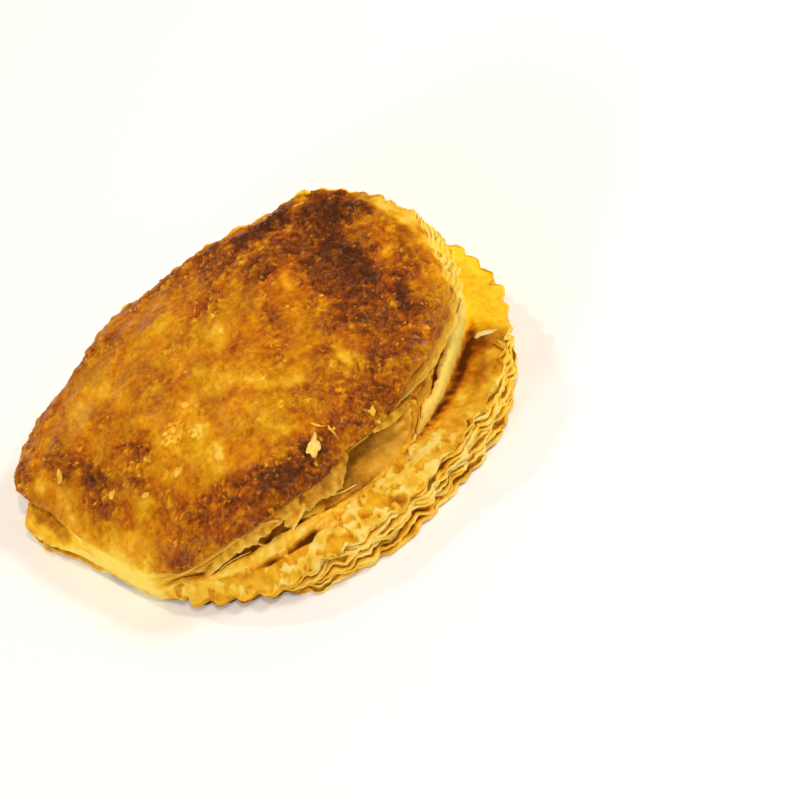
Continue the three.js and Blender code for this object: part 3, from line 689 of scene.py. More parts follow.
# Patches of deeper or paler baking on the crust, in mm from the outline's centre: place, size along and
# across, turn in degrees, and how much browner
PATCHES = [
    (39, 6, 19, 7, 80, 0.38), (41, 4, 8, 3.5, 85, 0.18), (38, 15, 4, 3.5, 0, 0.12), (46, 28, 12, 7, -35, 0.38),
    (38, 24, 9, 6, 0, 0.25), (20, 36, 14, 5, 0, 0.28), (12, 32, 4, 3, 0, 0.1), (30, 37, 8, 4, 0, 0.2),
    (3, 22, 5, 4, -20, 0.22), (20, 22, 6, 5, 60, 0.22), (15, 5, 5, 2.5, 80, 0.2), (2.5, 2, 3, 1.6, 0, 0.2),
    (30, -10, 5, 4, -30, 0.2), (45, -14, 6, 3, 80, 0.3), (48, -7, 3, 2, 0, 0.2), (32, -24, 4, 3, 60, 0.22),
    (38, -17, 5, 5, 0, 0.2), (-47, 4, 8, 3.5, 75, 0.34), (-52, 16, 5, 3, 90, 0.25), (-32, -3, 4, 3.5, 60, 0.25),
    (-37, -9, 5, 2.5, -40, 0.2), (-45, -6, 6, 4, 60, 0.15), (-8, -36.5, 12, 3.2, 3, 0.2),
    (-25, -29, 8, 4, -10, 0.12), (-38, -33, 5, 3, -35, 0.15), (-18, 9, 6, 2.5, -55, 0.14),
    (-35, 12, 5, 3, 20, 0.1), (-25, 21, 3, 1.5, 90, 0.12), (-24, 35, 4, 3, 0, 0.1), (10, -8, 5, 2.5, 90, 0.15),
    (20, -14, 3, 2, 0, 0.12),
    (-35, 25, 8, 5, 0, -0.12), (-8, 24, 4, 4, 0, -0.12), (2, 8, 4, 4, 0, -0.12), (-12, 8, 3, 3, 0, -0.1),
    (-16, -4, 5, 4, 0, -0.12), (-17, -13, 6, 3, 75, -0.14), (-5, -5, 8, 4, -15, -0.1), (2, -12, 5, 2, -50, -0.14),
    (-17, -22, 6, 3, 80, -0.1), (-8, -17, 7, 4, -30, -0.06), (10, -16, 5, 3, 0, -0.12), (0, -24, 5, 4, 0, -0.08),
    (24, -19, 4, 2.5, 90, -0.3), (24, 9, 7, 2, 90, -0.18), (50, 15, 5, 1.6, -40, -0.3), (48, 1.5, 4, 1.6, 0, -0.25),
    (56, 8, 3, 2, 0, -0.15), (45, -8, 2, 2, 0, -0.2), (42, -15, 4, 1.2, 90, -0.25), (50, -15, 3, 3, 0, -0.15),
    (40, 36, 5, 1.5, 60, -0.3), (33, 28, 1.5, 1.5, 0, -0.3), (-43, -4.5, 2, 1.5, 0, -0.2),
    (-38, -15, 3, 2, 0, -0.12), (-27, -16.5, 2.5, 1.5, 0, -0.15), (-50, -21, 16, 5.5, -66, -0.26),
    (59, 0, 15, 2.5, 90, -0.2), (29, 8, 14, 5, 80, 0.15), (24, 14, 5, 4, 0, 0.08), (34, 17, 5, 4, 0, 0.1),
    (29, 25, 4, 4, 0, 0.1), (12, 29, 4, 3, 0, 0.16), (18, 28, 3, 3, 0, 0.08), (40, -5, 5, 3, 0, 0.16),
    (52, 1, 5, 3, 110, 0.16), (52, -11, 4, 3, 0, 0.13), (51, 18, 5, 2.5, 100, 0.1), (55, 8, 3, 2, 0, 0.1),
    (22, -18, 6, 4, 80, 0.18), (12, -20, 5, 3, 0, 0.14), (6, -24, 4, 3, 0, 0.12), (17, -25, 5, 3, 0, 0.1),
    (-22, -32, 4, 3, 0, 0.12), (-8, -33.5, 4, 2.5, 0, 0.1), (-55, 4, 9, 3.5, 102, -0.2), (-57, 16, 4, 3, 0, -0.2),
    (-29, 17, 4, 4, 0, -0.14), (-23, 13, 5, 3.5, 0, -0.06), (-27, -1, 6, 3, -45, -0.16), (-28, -9, 4, 3, 0, -0.1),
    (-21, -10, 3, 2, 0, -0.08), (-41, 10, 5, 3, 100, -0.08), (-22, -25, 6, 2.5, -15, -0.08), (-15, -22, 4, 3, 90, -0.08),
    (42, 27, 6, 3, -20, -0.12), (-34, -35, 7, 2.5, -32, -0.12), (-17, -38.5, 9, 2, 3, -0.1),
    (12, -37.5, 4, 2.5, 0, -0.14), (18, -33.5, 5, 2.5, 30, -0.12), (33, -31, 3, 2, 0, -0.16), (15, -11, 6, 2.5, 55, -0.1),
    (-21, 0, 8, 3, -45, 0.1), (-10, -7, 4, 3, 90, 0.1), (-31, -25, 8, 4, -35, 0.12), (-19, -33, 9, 3, -5, 0.12),
    (-33, -20, 4, 3, 90, 0.08), (-7, -22, 5, 3, -30, 0.1), (-38, 1, 4, 3, 0, 0.1), (-50, 13, 5, 3, 15, 0.1),
    (42, -11, 4, 3, 90, 0.12), (18, -13, 4, 3, 0, 0.08), (29, -27, 5, 2.5, 45, 0.1), (44, 4, 5, 2.5, 90, 0.08),
    (20, 17, 4, 3, 0, 0.08), (32, -2, 4, 3, 90, 0.08), (49, -6, 4, 3, 90, 0.08), (50, -18, 4, 3, 40, 0.1),
    (56, 20, 10, 3.5, 112, -0.36), (39, 31, 3, 3, 0, -0.16), (-42, -22, 6, 3, -60, -0.1), (-25, -37, 4, 2, -20, -0.1),
    (12, 29, 3.5, 3, 0, 0.14), (24.5, 31, 2, 2.5, 0, 0.12), (29, 24, 2.5, 7, 0, 0.1), (20, 17, 3, 3, 0, 0.08),
    (23, 4, 6, 2.5, 30, 0.1), (12.5, -3, 2, 4, -20, 0.12), (38, -7, 4, 2.5, 30, 0.12), (53.5, 11, 6, 3, 105, 0.18),
    (51, 3, 2.5, 2, 0, 0.1), (54, -10, 5, 3, 40, 0.1), (46.5, -16, 1.5, 2.5, 0, 0.1), (25, -24, 4, 2, 0, 0.1),
    (11.5, -19, 2.5, 2, 0, 0.1), (-22, -6.5, 3, 2.5, 0, 0.1), (-16, -29, 4, 2, -20, 0.14), (3, -35, 5, 2.5, 0, 0.22),
    (-8, -33, 3, 2, 0, 0.1), (-33, -30, 3, 3, 0, 0.1), (-37, -11, 2, 3.5, 20, 0.08), (-53, 12, 2, 2, 0, 0.12),
    (-46, -15, 5, 1.8, -65, -0.14), (-29, -21, 2, 4, 20, -0.1), (-36, -33, 5, 1.5, -35, -0.12), (55, -15, 2, 1.5, 40, -0.16),
    (42, 26, 5, 3, -30, -0.1), (-20, -38, 8, 1.8, 0, -0.08), (25, 40, 10, 3, -22, -0.1), (-18, 42, 6, 3, 0, -0.1),
    (43, 0, 2, 12, 0, 0.1), (31, 6, 2.5, 12, 0, 0.08), (52, 20, 4, 4, 0, 0.12), (40, -20, 3, 3, 0, 0.08),
    (32, -27, 3, 2, 0, 0.1), (-16, -35, 4, 2, 0, 0.1), (4, -36, 3, 2, 0, 0.1), (-46, 0, 3, 4, 30, 0.06),
    (-42, 37, 7, 3, 15, -0.12), (-41, 9, 1.5, 6, 35, -0.08), (-6, -12, 5, 2, 20, -0.06), (-5, -29, 9, 1.3, 0, -0.08),
    (10.5, 29, 3, 2.5, 0, 0.08), (5, 18, 2, 5, -20, 0.1), (19, 15, 3, 3, -30, 0.1), (-14, -9, 1.5, 5, 15, 0.1),
    (-4, 7, 3, 2.5, 0, 0.08), (7.5, 6.5, 2, 3, 0, 0.1), (-4, -27, 3, 2, 0, 0.1), (41, -13, 2.5, 2.5, 0, 0.1),
    (-36, -30, 4, 2.5, -20, 0.1), (-32, 26, 3, 4, 0, 0.06), (47, 15, 4, 2, -40, -0.12), (37, 22, 3, 2, 0, -0.1),
    (-50, 8, 3, 2, -40, -0.1), (24, 42, 8, 3, -25, -0.12), (12, -37.5, 4, 1.2, 0, -0.1), (43, -18, 1.5, 2, 0, -0.1),
]
# Pale, bubbled spots of glaze, raised and painted paler as a painted highlight: place and radius
GLINT_SPOTS = [
    (-22.8, -8.1, 3.6), (-17.5, -13.2, 1.8), (-16, -3, 1.2), (-12.3, 16.4, 1.4), (-11.4, 5.1, 0.6), (3.7, -21.6, 1.2),
    (3.7, -12, 1.2), (-16, -22.6, 1.6), (-30.8, -6.5, 1.6), (-30.1, -13.7, 1.4), (-35.3, -4.8, 1.6), (-26.9, -16.9, 1.2),
]
BASE_TOAST = 0.354
BAKING_MIDDLE = 0.32
BAKING_CONTRAST = 1.3
RIM_BAND = [0.1, 0.4, 1, 1, 0.9, 0.7, 0.1, 0.3, 0.8, 0.7, 0.5, 0.6]  # browning of the swelling near the edge
RIM_BAND_PLACE = [3, 3, 2.8, 2.8, 3.6, 6, 10, 9, 7, 6, 5, 4]  # its distance from the edge
RIM_BAND_TOAST = 0.28
RIM_BAND_WIDTH = 4.6


# How brown the crust is at points
def baking(points, share):
    x, y = points[:, 0], points[:, 1]
    angle = np.arctan2(y, x)
    inside = (1 - share) * (reach(angle) - around(TOP_INSET, angle)) + 2.2 * noise(points, 11, 61)
    band = np.exp(-(((inside - around(RIM_BAND_PLACE, angle)) / RIM_BAND_WIDTH) ** 2))
    total = BASE_TOAST + RIM_BAND_TOAST * around(RIM_BAND, angle) * band
    bent_x = x + 1.8 * noise(points, 7, 62) + 0.9 * noise(points, 3, 63)
    bent_y = y + 1.8 * noise(points, 7, 64) + 0.9 * noise(points, 3, 65)
    for px, py, along, across, turn, strength in PATCHES:
        c, s = math.cos(math.radians(turn)), math.sin(math.radians(turn))
        u = ((bent_x - px) * c + (bent_y - py) * s) / along
        v = ((bent_y - py) * c - (bent_x - px) * s) / across
        total = total + strength * np.exp(-(u * u + v * v))
    total = total + 0.06 * rough(points, 6, 66, 3)
    return BAKING_MIDDLE + BAKING_CONTRAST * (total - BAKING_MIDDLE)


# Wrinkles of the crust that run along its edge, at the far side of the tip
def wrinkles(points, share):
    angle = np.arctan2(points[:, 1], points[:, 0])
    radius = np.hypot(points[:, 0], points[:, 1]) + 1.2 * noise(points, 9, 81)
    lines = noise(np.column_stack([radius / 1.3, angle * 9, 0 * angle]), 1, 82)
    zone = smoothstep(share, 0.55, 0.75) * smoothstep(angle, -0.5, 0) * (1 - smoothstep(angle, 1.5, 2.0))
    return lines * zone


# Crazed skin: 1 on the plates, 0 in the creases between them
def crazing(points, size, seed):
    bent = points + 0.35 * size * np.column_stack([noise(points, size, seed + k) for k in range(3)])
    return np.minimum(1, np.abs(noise(bent, size, seed + 3)) / 0.22)


# Scales of glaze that have lifted: 1 on a scale, 0 off it, with crisp edges
def scales(points, size, seed, level, edge=0.07):
    field = noise(points, size, seed) + 0.5 * noise(points, size / 2.3, seed + 1) + 0.25 * noise(points, size / 5, seed + 2)
    return smoothstep(field, level, level + edge)


# 1 in the pale spots of glaze, broken into bubbles: raised bubbles painted paler as a painted highlight
def painted_glint_spots(points):
    inside = np.zeros(len(points))
    for x, y, radius in GLINT_SPOTS:
        gap = np.hypot(points[:, 0] - x, points[:, 1] - y) / radius
        inside = np.maximum(inside, np.exp(-(gap**2)))
    return smoothstep(inside * (1 + 0.9 * noise(points, 0.9, 121) + 0.6 * noise(points, 2, 122)), 0.45, 0.62)


# Fine relief along the normals in mm, what it adds to the browning, and pale dough flecks as painted glints
def fine_relief(points, values):
    plan = points[:, :2]
    crust = values["baked"]
    brown = smoothstep(values["toast"], 0.36, 0.58) * crust
    lumps = noise(points, 5.2, 32)
    grains = noise(points, 1.5, 31)
    bubbles = blisters(plan, 4.2, 0.6, 1.4, 6, 0.5)
    small_bubbles = blisters(plan, 1.7, 0.45, 0.85, 7, 0.9)
    plates = crazing(points * (1, 1, 0.6), 2.6, 90)
    small_plates = crazing(points * (1, 1, 0.6), 1.3, 95)
    lifted = scales(points, 4.5, 100, 0.16)
    thin_lifted = scales(points, 2.4, 105, 0.2)
    flecks = scales(points, 1.8, 110, 0.2, 0.05) * crust
    pits = scales(points, 2.0, 115, 0.26, 0.05) * crust
    creases = wrinkles(points, values["share"])
    spots = painted_glint_spots(points) * crust
    # pale dough flecks in the brown, a painted highlight standing in for glints
    painted_glints = scales(points, 1.3, 125, 0.66, 0.12) * brown
    height = crust * (0.3 * lumps + 0.07 * grains + 0.14 * bubbles + 0.3 * creases)
    height += brown * (0.26 * plates + 0.12 * small_plates + 0.3 * small_bubbles - 0.25)
    height += crust * (0.18 + 0.28 * brown) * lifted + brown * 0.2 * thin_lifted + 0.06 * flecks - 0.06 * pits + 0.16 * spots + 0.12 * painted_glints
    side = values["side"] * values["relief"] * (1 - values["baked"])
    streaks = noise(points * (0.35, 0.35, 1.3), 2.2, 38)
    height += side * (0.2 * grains + 0.3 * noise(points, 3.4, 33) + 0.3 * streaks)
    toast = crust * (0.09 * lumps + 0.05 * grains + 0.12 * creases - 0.05 * lifted)
    toast += brown * (0.15 - 0.08 * small_bubbles - 0.12 * plates - 0.06 * small_plates - 0.11 * lifted - 0.06 * thin_lifted)
    toast += (0.55 + 0.45 * brown) * (0.08 * pits - 0.1 * flecks) - 0.2 * spots - 0.3 * painted_glints
    toast += side * (0.12 * noise(points, 4, 37) + 0.05 * grains + 0.14 * streaks)
    return height, toast, painted_glints


def node(tree, kind, inputs=None, **settings):
    made = tree.nodes.new(kind)
    for key, value in settings.items():
        setattr(made, key, value)
    for key, value in (inputs or {}).items():
        if isinstance(value, bpy.types.NodeSocket):
            tree.links.new(value, made.inputs[key])
        else:
            made.inputs[key].default_value = value
    return made


def ramp(tree, factor, stops):
    made = node(tree, "ShaderNodeValToRGB", {"Fac": factor})
    elements = made.color_ramp.elements
    while len(elements) < len(stops):
        elements.new(0.5)
    for element, (place, colour) in zip(elements, stops):
        element.position = place
        element.color = (*colour, 1)
    return made.outputs["Color"]


# Browning of glazed crust and of bare dough, from pale to dark
CRUST_COLOURS = [
    (0.00, (0.94, 0.63, 0.090)),
    (0.12, (0.84, 0.445, 0.020)),
    (0.22, (0.73, 0.332, 0.008)),
    (0.30, (0.62, 0.243, 0.004)),
    (0.38, (0.515, 0.175, 0.003)),
    (0.46, (0.43, 0.117, 0.002)),
    (0.55, (0.34, 0.082, 0.0015)),
    (0.65, (0.25, 0.054, 0.0012)),
    (0.76, (0.165, 0.033, 0.001)),
    (0.88, (0.108, 0.020, 0.001)),
    (1.00, (0.070, 0.012, 0.001)),
]
DOUGH_COLOURS = [
    (0.00, (1.00, 0.80, 0.25)),
    (0.12, (0.99, 0.68, 0.10)),
    (0.25, (0.95, 0.54, 0.045)),
    (0.38, (0.80, 0.41, 0.028)),
    (0.50, (0.66, 0.30, 0.020)),
    (0.65, (0.46, 0.19, 0.011)),
    (0.80, (0.28, 0.10, 0.005)),
    (1.00, (0.13, 0.038, 0.002)),
]


OLIVE_TINT = (0.88, 0.95, 2.0)
GREENER = (0.97, 1.05, 1.0)
REDDER = (1.03, 0.94, 1.0)


def baked_material():
    made = bpy.data.materials.new("baked_pastry")
    made.use_nodes = True
    tree = made.node_tree
    tree.nodes.clear()
    place = node(tree, "ShaderNodeTexCoord").outputs["Object"]
    toast = node(tree, "ShaderNodeAttribute", attribute_name="toast").outputs["Fac"]
    dough = node(tree, "ShaderNodeAttribute", attribute_name="dough").outputs["Fac"]
    olive = node(tree, "ShaderNodeAttribute", attribute_name="olive").outputs["Fac"]

    def speckle(size_mm, detail):
        made = node(tree, "ShaderNodeTexNoise", {"Vector": place, "Scale": 1 / (size_mm * MM), "Detail": detail})
        return made.outputs["Fac"]

    def math_node(operation, a, b):
        return node(tree, "ShaderNodeMath", {0: a, 1: b}, operation=operation).outputs[0]

    def varied(value, size_mm, detail, strength):
        centred = math_node("SUBTRACT", speckle(size_mm, detail), 0.5)
        scaled = math_node("MULTIPLY", centred, math_node("MULTIPLY", in_brown, strength))
        return math_node("ADD", value, scaled)

    def tinted(colour, tint, share):
        inputs = {"Factor": share, 6: colour, 7: (*tint, 1)}
        return node(tree, "ShaderNodeMix", inputs, data_type="RGBA", blend_type="MULTIPLY", clamp_factor=False).outputs[2]

    brown_range = {"Value": toast, "From Min": 0.25, "From Max": 0.5, "To Min": 0.55, "To Max": 1.1}
    in_brown = node(tree, "ShaderNodeMapRange", brown_range).outputs["Result"]
    browned = varied(varied(varied(toast, 5, 4, 0.38), 1.6, 3, 0.36), 0.6, 3, 0.24)
    crust = ramp(tree, browned, CRUST_COLOURS)
    bare = ramp(tree, browned, DOUGH_COLOURS)
    hue = node(tree, "ShaderNodeMapRange", {"Value": speckle(9, 3), "From Min": 0.4, "From Max": 0.6}).outputs["Result"]
    crust = tinted(tinted(crust, GREENER, hue), REDDER, math_node("SUBTRACT", 1.0, hue))
    colour = node(tree, "ShaderNodeMix", {"Factor": dough, 6: crust, 7: bare}, data_type="RGBA").outputs[2]
    colour = tinted(colour, OLIVE_TINT, olive)
    roughness = node(tree, "ShaderNodeMapRange", {"Value": dough, "To Min": 0.4, "To Max": 0.8}).outputs["Result"]
    bump = node(tree, "ShaderNodeBump", {"Height": speckle(1.1, 3), "Distance": 0.3 * MM, "Strength": 0.9})
    gloss_range = {"Value": browned, "From Min": 0.35, "From Max": 0.6, "To Min": 0.1, "To Max": 0.3}
    gloss = math_node("MULTIPLY", node(tree, "ShaderNodeMapRange", gloss_range).outputs["Result"], math_node("SUBTRACT", 1.0, dough))
    settings = {
        "Base Color": colour,
        "Roughness": roughness,
        "Normal": bump.outputs["Normal"],
        "Coat Normal": bump.outputs["Normal"],
        "Specular IOR Level": 0.10,
        "Specular Tint": (1.0, 0.65, 0.15, 1),
        "Coat Weight": gloss,
        "Coat Roughness": 0.16,
    }
    shader = node(tree, "ShaderNodeBsdfPrincipled", settings)
    node(tree, "ShaderNodeOutputMaterial", {"Surface": shader.outputs["BSDF"]})
    return made


def add_object(name, mesh, material):
    made = bpy.data.objects.new(name, mesh)
    bpy.context.scene.collection.objects.link(made)
    made.data.materials.append(material)
    return made


def to_frame(points):
    return (np.asarray(points) + (CENTRE[0], CENTRE[1], 0)) * MM


def build_body(material):
    points, faces, values = pastry_skin()
    values["toast"] = values["toast"] + values["baked"] * baking(points, values["share"])
    height, browner, painted_glints = fine_relief(points, values)
    points = points + point_normals(points, faces) * height[:, None]
    points[:, 2] = np.maximum(points[:, 2], 0)
    # the painted glints show as flecks of pale dough, a painted highlight
    keep = {"toast": values["toast"] + browner, "dough": values["dough"] + 0.6 * painted_glints, "olive": values["olive"]}
    body = add_object("baked_body", make_mesh("baked_body", to_frame(points), faces, keep), material)
    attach(body, "root")
    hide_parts("pastry")
    return body


class Bits:
    """Closed thin pieces gathered into one mesh, and what the surface is at their points"""

    KEYS = ("toast", "dough", "olive")

    def __init__(self):
        self.points, self.faces, self.total = [], [], 0
        self.values = {key: [] for key in self.KEYS}

    def add(self, points, faces, toast, dough=1.0, olive=0.0):
        self.points.append(points)
        self.faces.append(np.where(faces < 0, -1, faces + self.total))
        for key, value in zip(self.KEYS, (toast, dough, olive)):
            self.values[key].append(np.broadcast_to(value, len(points)).astype(float))
        self.total += len(points)

    def build(self, name, material):
        points, faces = np.concatenate(self.points), np.concatenate(self.faces)
        keep = {key: np.concatenate(parts) for key, parts in self.values.items()}
        made = add_object(name, make_mesh(name, to_frame(points), faces, keep), material)
        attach(made, "root")


# Adds a closed thin sheet round a grid of points (m, n, 3), thinner towards its rim
def add_sheet(bits, grid, thickness, toast, dough=1.0, olive=0.0):
    m, n = grid.shape[:2]
    normal = np.cross(np.gradient(grid, axis=0), np.gradient(grid, axis=1))
    normal /= np.maximum(np.linalg.norm(normal, axis=2, keepdims=True), 1e-9)
    rows, columns = np.arange(m), np.arange(n)
    from_rim = np.minimum.outer(np.minimum(rows, m - 1 - rows), np.minimum(columns, n - 1 - columns))
    half = thickness * (0.15 + 0.35 * np.minimum(1, from_rim / 2))[..., None]
    index = np.arange(m * n).reshape(m, n)
    cells = (index[:-1, :-1], index[1:, :-1], index[1:, 1:], index[:-1, 1:])
    upper = np.stack([corner.ravel() for corner in cells], axis=1)
    rim = np.concatenate([index[:, 0], index[-1, 1:], index[-2::-1, -1], index[0, -2:0:-1]])
    following = np.roll(rim, -1)
    side = np.stack([rim, rim + m * n, following + m * n, following], axis=1)
    points = np.concatenate([(grid + normal * half).reshape(-1, 3), (grid - normal * half).reshape(-1, 3)])
    both = [np.tile(np.broadcast_to(value, (m, n)).ravel(), 2) for value in (toast, dough, olive)]
    bits.add(points, np.concatenate([upper, upper[:, ::-1] + m * n, side]), *both)


# Evenly spaced points of a smooth curve through places on the side, each an angle in degrees, an inset and
# a height
def side_curve(places, count):
    spots = []
    for degrees, inset, height in places:
        angle = math.radians(degrees)
        radius = float(reach(angle)) - inset
        spots.append((radius * math.cos(angle), radius * math.sin(angle), height))
    line = np.array([spots[0], *smooth_line(spots, 10)])
    along = np.concatenate([[0], np.cumsum(np.linalg.norm(np.diff(line, axis=0), axis=1))])
    wanted = np.linspace(0, along[-1], count)
    return np.column_stack([np.interp(wanted, along, line[:, axis]) for axis in range(3)])


# Membranes of torn dough: the curve that they hang from, their free edge, how far they bulge out, and the
# browning at both edges and the olive tint
MEMBRANES = [
    ([(-97, 9.8, 28.2), (-91, 10.6, 28.6), (-84, 11.4, 28.8), (-78, 12.1, 29), (-74, 12.4, 29.2)],
     [(-92, 14.6, 17), (-88, 12.4, 18), (-84, 10.9, 19), (-80, 11.5, 21), (-75, 13, 25)], 0.7, 0.56, 0.1, 0.35),
    ([(-62, 13, 29), (-56, 12.2, 29), (-53, 11.4, 29), (-49, 10.6, 29.6)],
     [(-62, 12.4, 27), (-57, 11.5, 26), (-54, 10.8, 26.6), (-49, 10, 28.4)], 0.1, 0.5, 0.2, 0.1),
    ([(-49, 12, 29), (-48, 11.4, 25), (-49, 11.7, 21), (-51, 12.3, 17), (-53.5, 12.3, 15), (-58, 11, 14)],
     [(-48, 9.4, 29.4), (-48.4, 9.2, 26), (-49.6, 9.6, 22), (-51.6, 10.4, 18.5), (-53, 11, 16), (-57, 10.4, 15)],
     0.3, 0.4, 0.3, 0.0),
    ([(-45.5, 12.6, 29), (-46.5, 12, 25), (-48, 11.8, 21), (-50, 11.4, 16.5)],
     [(-46.5, 9.8, 29), (-47.6, 9.6, 25), (-49, 9.6, 21), (-51, 9.8, 17)], 0.3, 0.45, 0.25, 0.0),
    ([(-137, 3, 9.5), (-126, 5.4, 19), (-119, 6.8, 22), (-111, 7.8, 23.5), (-104, 9.2, 24.8), (-97, 10.4, 25.8)],
     [(-136, 2.4, 9), (-125, 5.4, 14.8), (-119, 6.6, 16), (-111, 9, 17.2), (-104.6, 10.8, 18.6), (-98, 11.6, 19.4)],
     0.5, 0.46, 0.06, 0.2),
    ([(-105, 12.5, 18.5), (-100, 13, 20), (-95, 13.6, 21), (-88, 14.5, 21)],
     [(-106.5, 10.8, 15), (-102, 11.2, 15.6), (-96, 12.4, 16.4), (-88, 13.4, 17)], 0.4, 0.4, 0.06, 0.1),
    ([(-97, 10.4, 23), (-98.5, 11.4, 20), (-101.5, 11.6, 17), (-105, 11.4, 14)],
     [(-96.2, 9.8, 22.6), (-97.6, 10, 20), (-100.6, 10, 17), (-104, 9.8, 14)], 0.1, 0.3, 0.04, 0.1),
    ([(-92, 15.4, 15), (-86, 14.4, 15.2), (-82, 13.4, 15.2), (-76, 12.9, 15)],
     [(-92, 14.6, 16.6), (-86, 13.6, 17), (-82, 12.4, 16.8), (-76, 12.1, 16.2)], 0.2, 0.25, 0.05, 0.1),
    ([(-118.4, 9.4, 18), (-117.6, 9, 15.6), (-116, 8.8, 12.6)], [(-117, 6.9, 17), (-116.4, 7.2, 15), (-114, 7.6, 13.6)],
     0.1, 0.3, 0.06, 0.1),
    ([(-114, 8, 21.6), (-111, 8.4, 23), (-108.5, 8.2, 23.6), (-106, 7.6, 23)],
     [(-114, 5.9, 22.4), (-111, 5.9, 24.6), (-108.5, 5.8, 25.2), (-106, 5.9, 24)], 0.2, 0.5, 0.12, 0.1),
    ([(-134, 5.4, 6), (-130, 6.4, 9), (-126, 7.2, 11), (-120, 8, 12)],
     [(-134, 2.4, 8.6), (-130, 4.2, 11.6), (-126, 5.4, 12.8), (-120, 6.6, 13.6)], 0.1, 0.3, 0.04, 0.1),
    ([(170, 0.6, 3.2), (176, 0.7, 3), (-179, 0.8, 2.8)], [(171, -3.4, 1.4), (175, -2.6, 0.7), (179.5, -1.2, 0.5)],
     0.2, 0.3, 0.04, 0.1),
    ([(171, -2.2, 4.2), (171.2, -4, 3.4), (172.3, -5.2, 2.4), (173.3, -4.6, 1.8)],
     [(171, -1.8, 2.8), (171.4, -3.2, 2.0), (172.3, -4.1, 1.2), (173.1, -3.6, 0.7)], 0.3, 0.05, 0.05, 0.2),
]
MEMBRANE_THICKNESS = 0.3
MEMBRANE_ACROSS = 9
MEMBRANE_STEP = 0.3


def build_membranes(material):
    bits = Bits()
    for k, (fixed, free, bulge, fixed_toast, free_toast, olive) in enumerate(MEMBRANES):
        length = np.linalg.norm(np.diff(side_curve(fixed, 20), axis=0), axis=1).sum()
        count = max(12, int(length / MEMBRANE_STEP))
        start, end = side_curve(fixed, count), side_curve(free, count)
        t = np.linspace(0, 1, MEMBRANE_ACROSS)[:, None]
        torn = 1 + 0.14 * noise(end, 1.8, 601 + k) + 0.08 * noise(end, 0.8, 651 + k)
        grid = start + (end - start) * (t * torn)[..., None]
        outward = grid * (1, 1, 0) / np.linalg.norm(grid[..., :2], axis=2, keepdims=True) + (0, 0, 0.3)
        ripple = 0.3 * noise(grid.reshape(-1, 3) * (1, 1, 0.4), 2.2, 701 + k).reshape(grid.shape[:2]) * t
        grid = grid + outward * (bulge * np.sin(math.pi * t) + ripple)[..., None]
        toast = fixed_toast + (free_toast - fixed_toast) * t**3
        toast = toast + 0.24 * noise(grid.reshape(-1, 3) * (1, 1, 0.3), 1.6, 751 + k).reshape(grid.shape[:2])
        add_sheet(bits, grid, MEMBRANE_THICKNESS, toast, 1.0, olive)
    bits.build("torn_membranes", material)


# Loose flakes on the crust: place, length, width, turn in degrees, how far the rim curls up, and browning
FLAKES = [
    (4.6, -36.1, 6.0, 3.0, 55, 0.4, 0.14), (-43.8, -4.3, 2.6, 1.4, 20, 0.1, 0.27), (-36.8, -13.4, 2.2, 1.3, -30, 0.1, 0.27),
    (-27.4, -16.5, 2.6, 1.6, 40, 0.15, 0.22), (-52.8, 12, 3.2, 1.6, 60, 0.2, 0.3), (22.2, -34.9, 2.2, 1.4, 50, 0.3, 0.3),
    (-64.2, 21.2, 3.4, 2.0, 70, 0.1, 0.0), (-22.3, -7.9, 1.4, 1.0, 0, 0.2, 0.15), (-24.5, -6.8, 1.2, 0.8, 40, 0.2, 0.15),
    (8.6, -31.6, 4.0, 0.6, -50, 0.3, 0.25), (10.6, -35.4, 3.6, 0.6, -80, 0.3, 0.3), (61.2, -19.5, 6.4, 1.5, -14, 0.2, 0.02),
]
SMALL_FLAKES = 44
FLAKE_GRID = 9
FLAKE_THICKNESS = 0.22
DROP_HEIGHT = 100


# Adds a thin ragged flake that lies on the pastry and curls up at its rim
def add_flake(bits, ground, flake, seed, dough=1.0):
    x, y, length, width, turn, curl, toast = flake
    side = np.linspace(-1, 1, FLAKE_GRID)
    u, v = (grid.ravel() for grid in np.meshgrid(side, side, indexing="ij"))
    across, along = u * np.sqrt(1 - v * v / 2), v * np.sqrt(1 - u * u / 2)
    way = np.arctan2(along, across)
    ragged = 1 + 0.4 * noise(np.column_stack([np.cos(way), np.sin(way), 0 * way + seed]), 0.6, seed)
    along = along * (1 - 0.5 * across)
    c, s = math.cos(math.radians(turn)), math.sin(math.radians(turn))
    px = x + 0.5 * ragged * (across * length * c - along * width * s)
    py = y + 0.5 * ragged * (across * length * s + along * width * c)
    points = []
    for k in range(len(px)):
        start = Vector(to_frame((px[k], py[k], DROP_HEIGHT)))
        hit = ground.ray_cast(start, Vector((0, 0, -1)))[0]
        if hit is None:
            return
        lift = 0.1 + curl * (across[k] ** 2 + along[k] ** 2) * (1 + 0.6 * math.sin(3 * way[k] + seed))
        points.append((px[k], py[k], hit.z / MM + lift))
    grid = np.array(points).reshape(FLAKE_GRID, FLAKE_GRID, 3)
    shade = toast + 0.22 * noise(grid.reshape(-1, 3), 1.5, seed).reshape(FLAKE_GRID, FLAKE_GRID)
    add_sheet(bits, grid, FLAKE_THICKNESS, shade, dough, 0.4 * dough)


def build_flakes(ground, material):
    bits = Bits()
    for k, flake in enumerate(FLAKES):
        add_flake(bits, ground, flake, 800 + k)
    rng = np.random.default_rng(41)
    for k in range(SMALL_FLAKES):
        angle = math.radians(rng.uniform(-150, -5))
        radius = float(reach(angle) - around(TOP_INSET, angle)) - rng.uniform(1.2, 11)
        length = rng.uniform(0.5, 1.2)
        place = (radius * math.cos(angle), radius * math.sin(angle), length, length * rng.uniform(0.4, 0.8))
        add_flake(bits, ground, (*place, rng.uniform(0, 180), 0.1, rng.uniform(0.3, 0.55)), 900 + k, 0.2)
    bits.build("loose_flakes", material)


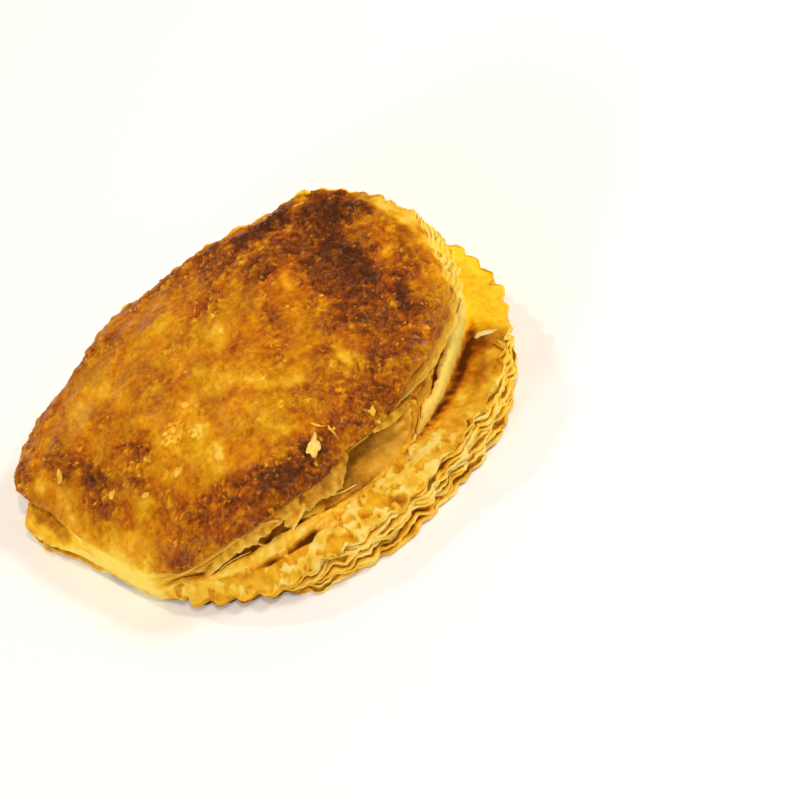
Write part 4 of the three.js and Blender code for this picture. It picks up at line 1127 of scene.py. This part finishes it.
def build_floor():
    material = bpy.data.materials.new("pale_floor")
    material.use_nodes = True
    shader = material.node_tree.nodes["Principled BSDF"]
    shader.inputs["Base Color"].default_value = (0.92, 0.94, 1.0, 1)
    shader.inputs["Roughness"].default_value = 0.9
    shader.inputs["Emission Color"].default_value = (0.9, 0.95, 1, 1)
    shader.inputs["Emission Strength"].default_value = 0.12
    half = 3.0
    corners = [(-half, -half, 0), (half, -half, 0), (half, half, 0), (-half, half, 0)]
    floor = add_object("floor", make_mesh("floor", corners, np.array([[0, 1, 2, 3]])), material)


WARM = (1.0, 0.8, 0.55)


def add_light(name, direction, distance, size, power, colour=(1, 1, 1)):
    light = bpy.data.lights.new(name, "AREA")
    light.shape = "DISK"
    light.size = size
    light.energy = power
    light.color = colour
    made = bpy.data.objects.new(name, light)
    bpy.context.scene.collection.objects.link(made)
    aim = Vector(direction).normalized()
    made.location = aim * distance
    made.rotation_euler = aim.to_track_quat("Z", "Y").to_euler()


def build_lights():
    world = bpy.data.worlds.new("studio")
    world.use_nodes = True
    world.node_tree.nodes["Background"].inputs["Color"].default_value = (1, 0.96, 0.84, 1)
    world.node_tree.nodes["Background"].inputs["Strength"].default_value = 0.33
    bpy.context.scene.world = world
    add_light("key", (0.75, -0.15, 0.75), 1.2, 0.3, 5.3)
    add_light("fill", (-0.85, -0.5, 0.45), 1.4, 0.4, 4.6)
    add_light("glint", (-0.23, 0.5, 0.82), 1.2, 0.07, 3.5, WARM)
    add_light("sparkle", (0.09, -0.31, 0.93), 1.2, 0.07, 3.5, WARM)


def build_camera():
    az, el, roll = VIEW_AZIMUTH, VIEW_ELEVATION, VIEW_ROLL
    back = Vector((math.sin(az) * math.cos(el), -math.cos(az) * math.cos(el), math.sin(el)))
    level_right = Vector((math.cos(az), math.sin(az), 0))
    level_up = back.cross(level_right)
    right = level_right * math.cos(roll) + level_up * math.sin(roll)
    up = level_up * math.cos(roll) - level_right * math.sin(roll)
    focal = VIEW_SCALE * VIEW_DISTANCE / MM  # pixels
    pan = math.atan((PASTRY_PIXEL[0] - FRAME_PIXELS / 2) / focal)
    tilt = math.atan((PASTRY_PIXEL[1] - FRAME_PIXELS / 2) / focal)
    turned = Matrix((right, up, back)).transposed() @ Matrix.Rotation(pan, 3, "Y") @ Matrix.Rotation(tilt, 3, "X")
    target = Vector((CENTRE[0], CENTRE[1], 20)) * MM
    camera = bpy.data.cameras.new("camera")
    camera.sensor_width = SENSOR_MM
    camera.lens = focal * SENSOR_MM / FRAME_PIXELS
    made = bpy.data.objects.new("camera", camera)
    bpy.context.scene.collection.objects.link(made)
    made.matrix_world = Matrix.Translation(target + back * VIEW_DISTANCE) @ turned.to_4x4()
    bpy.context.scene.camera = made


bpy.context.scene.view_settings.view_transform = "Standard"
build_camera()
build_lights()
build_floor()
pastry_material = baked_material()
body = build_body(pastry_material)
ground = BVHTree.FromObject(body, bpy.context.evaluated_depsgraph_get())
build_membranes(pastry_material)
build_flakes(ground, pastry_material)
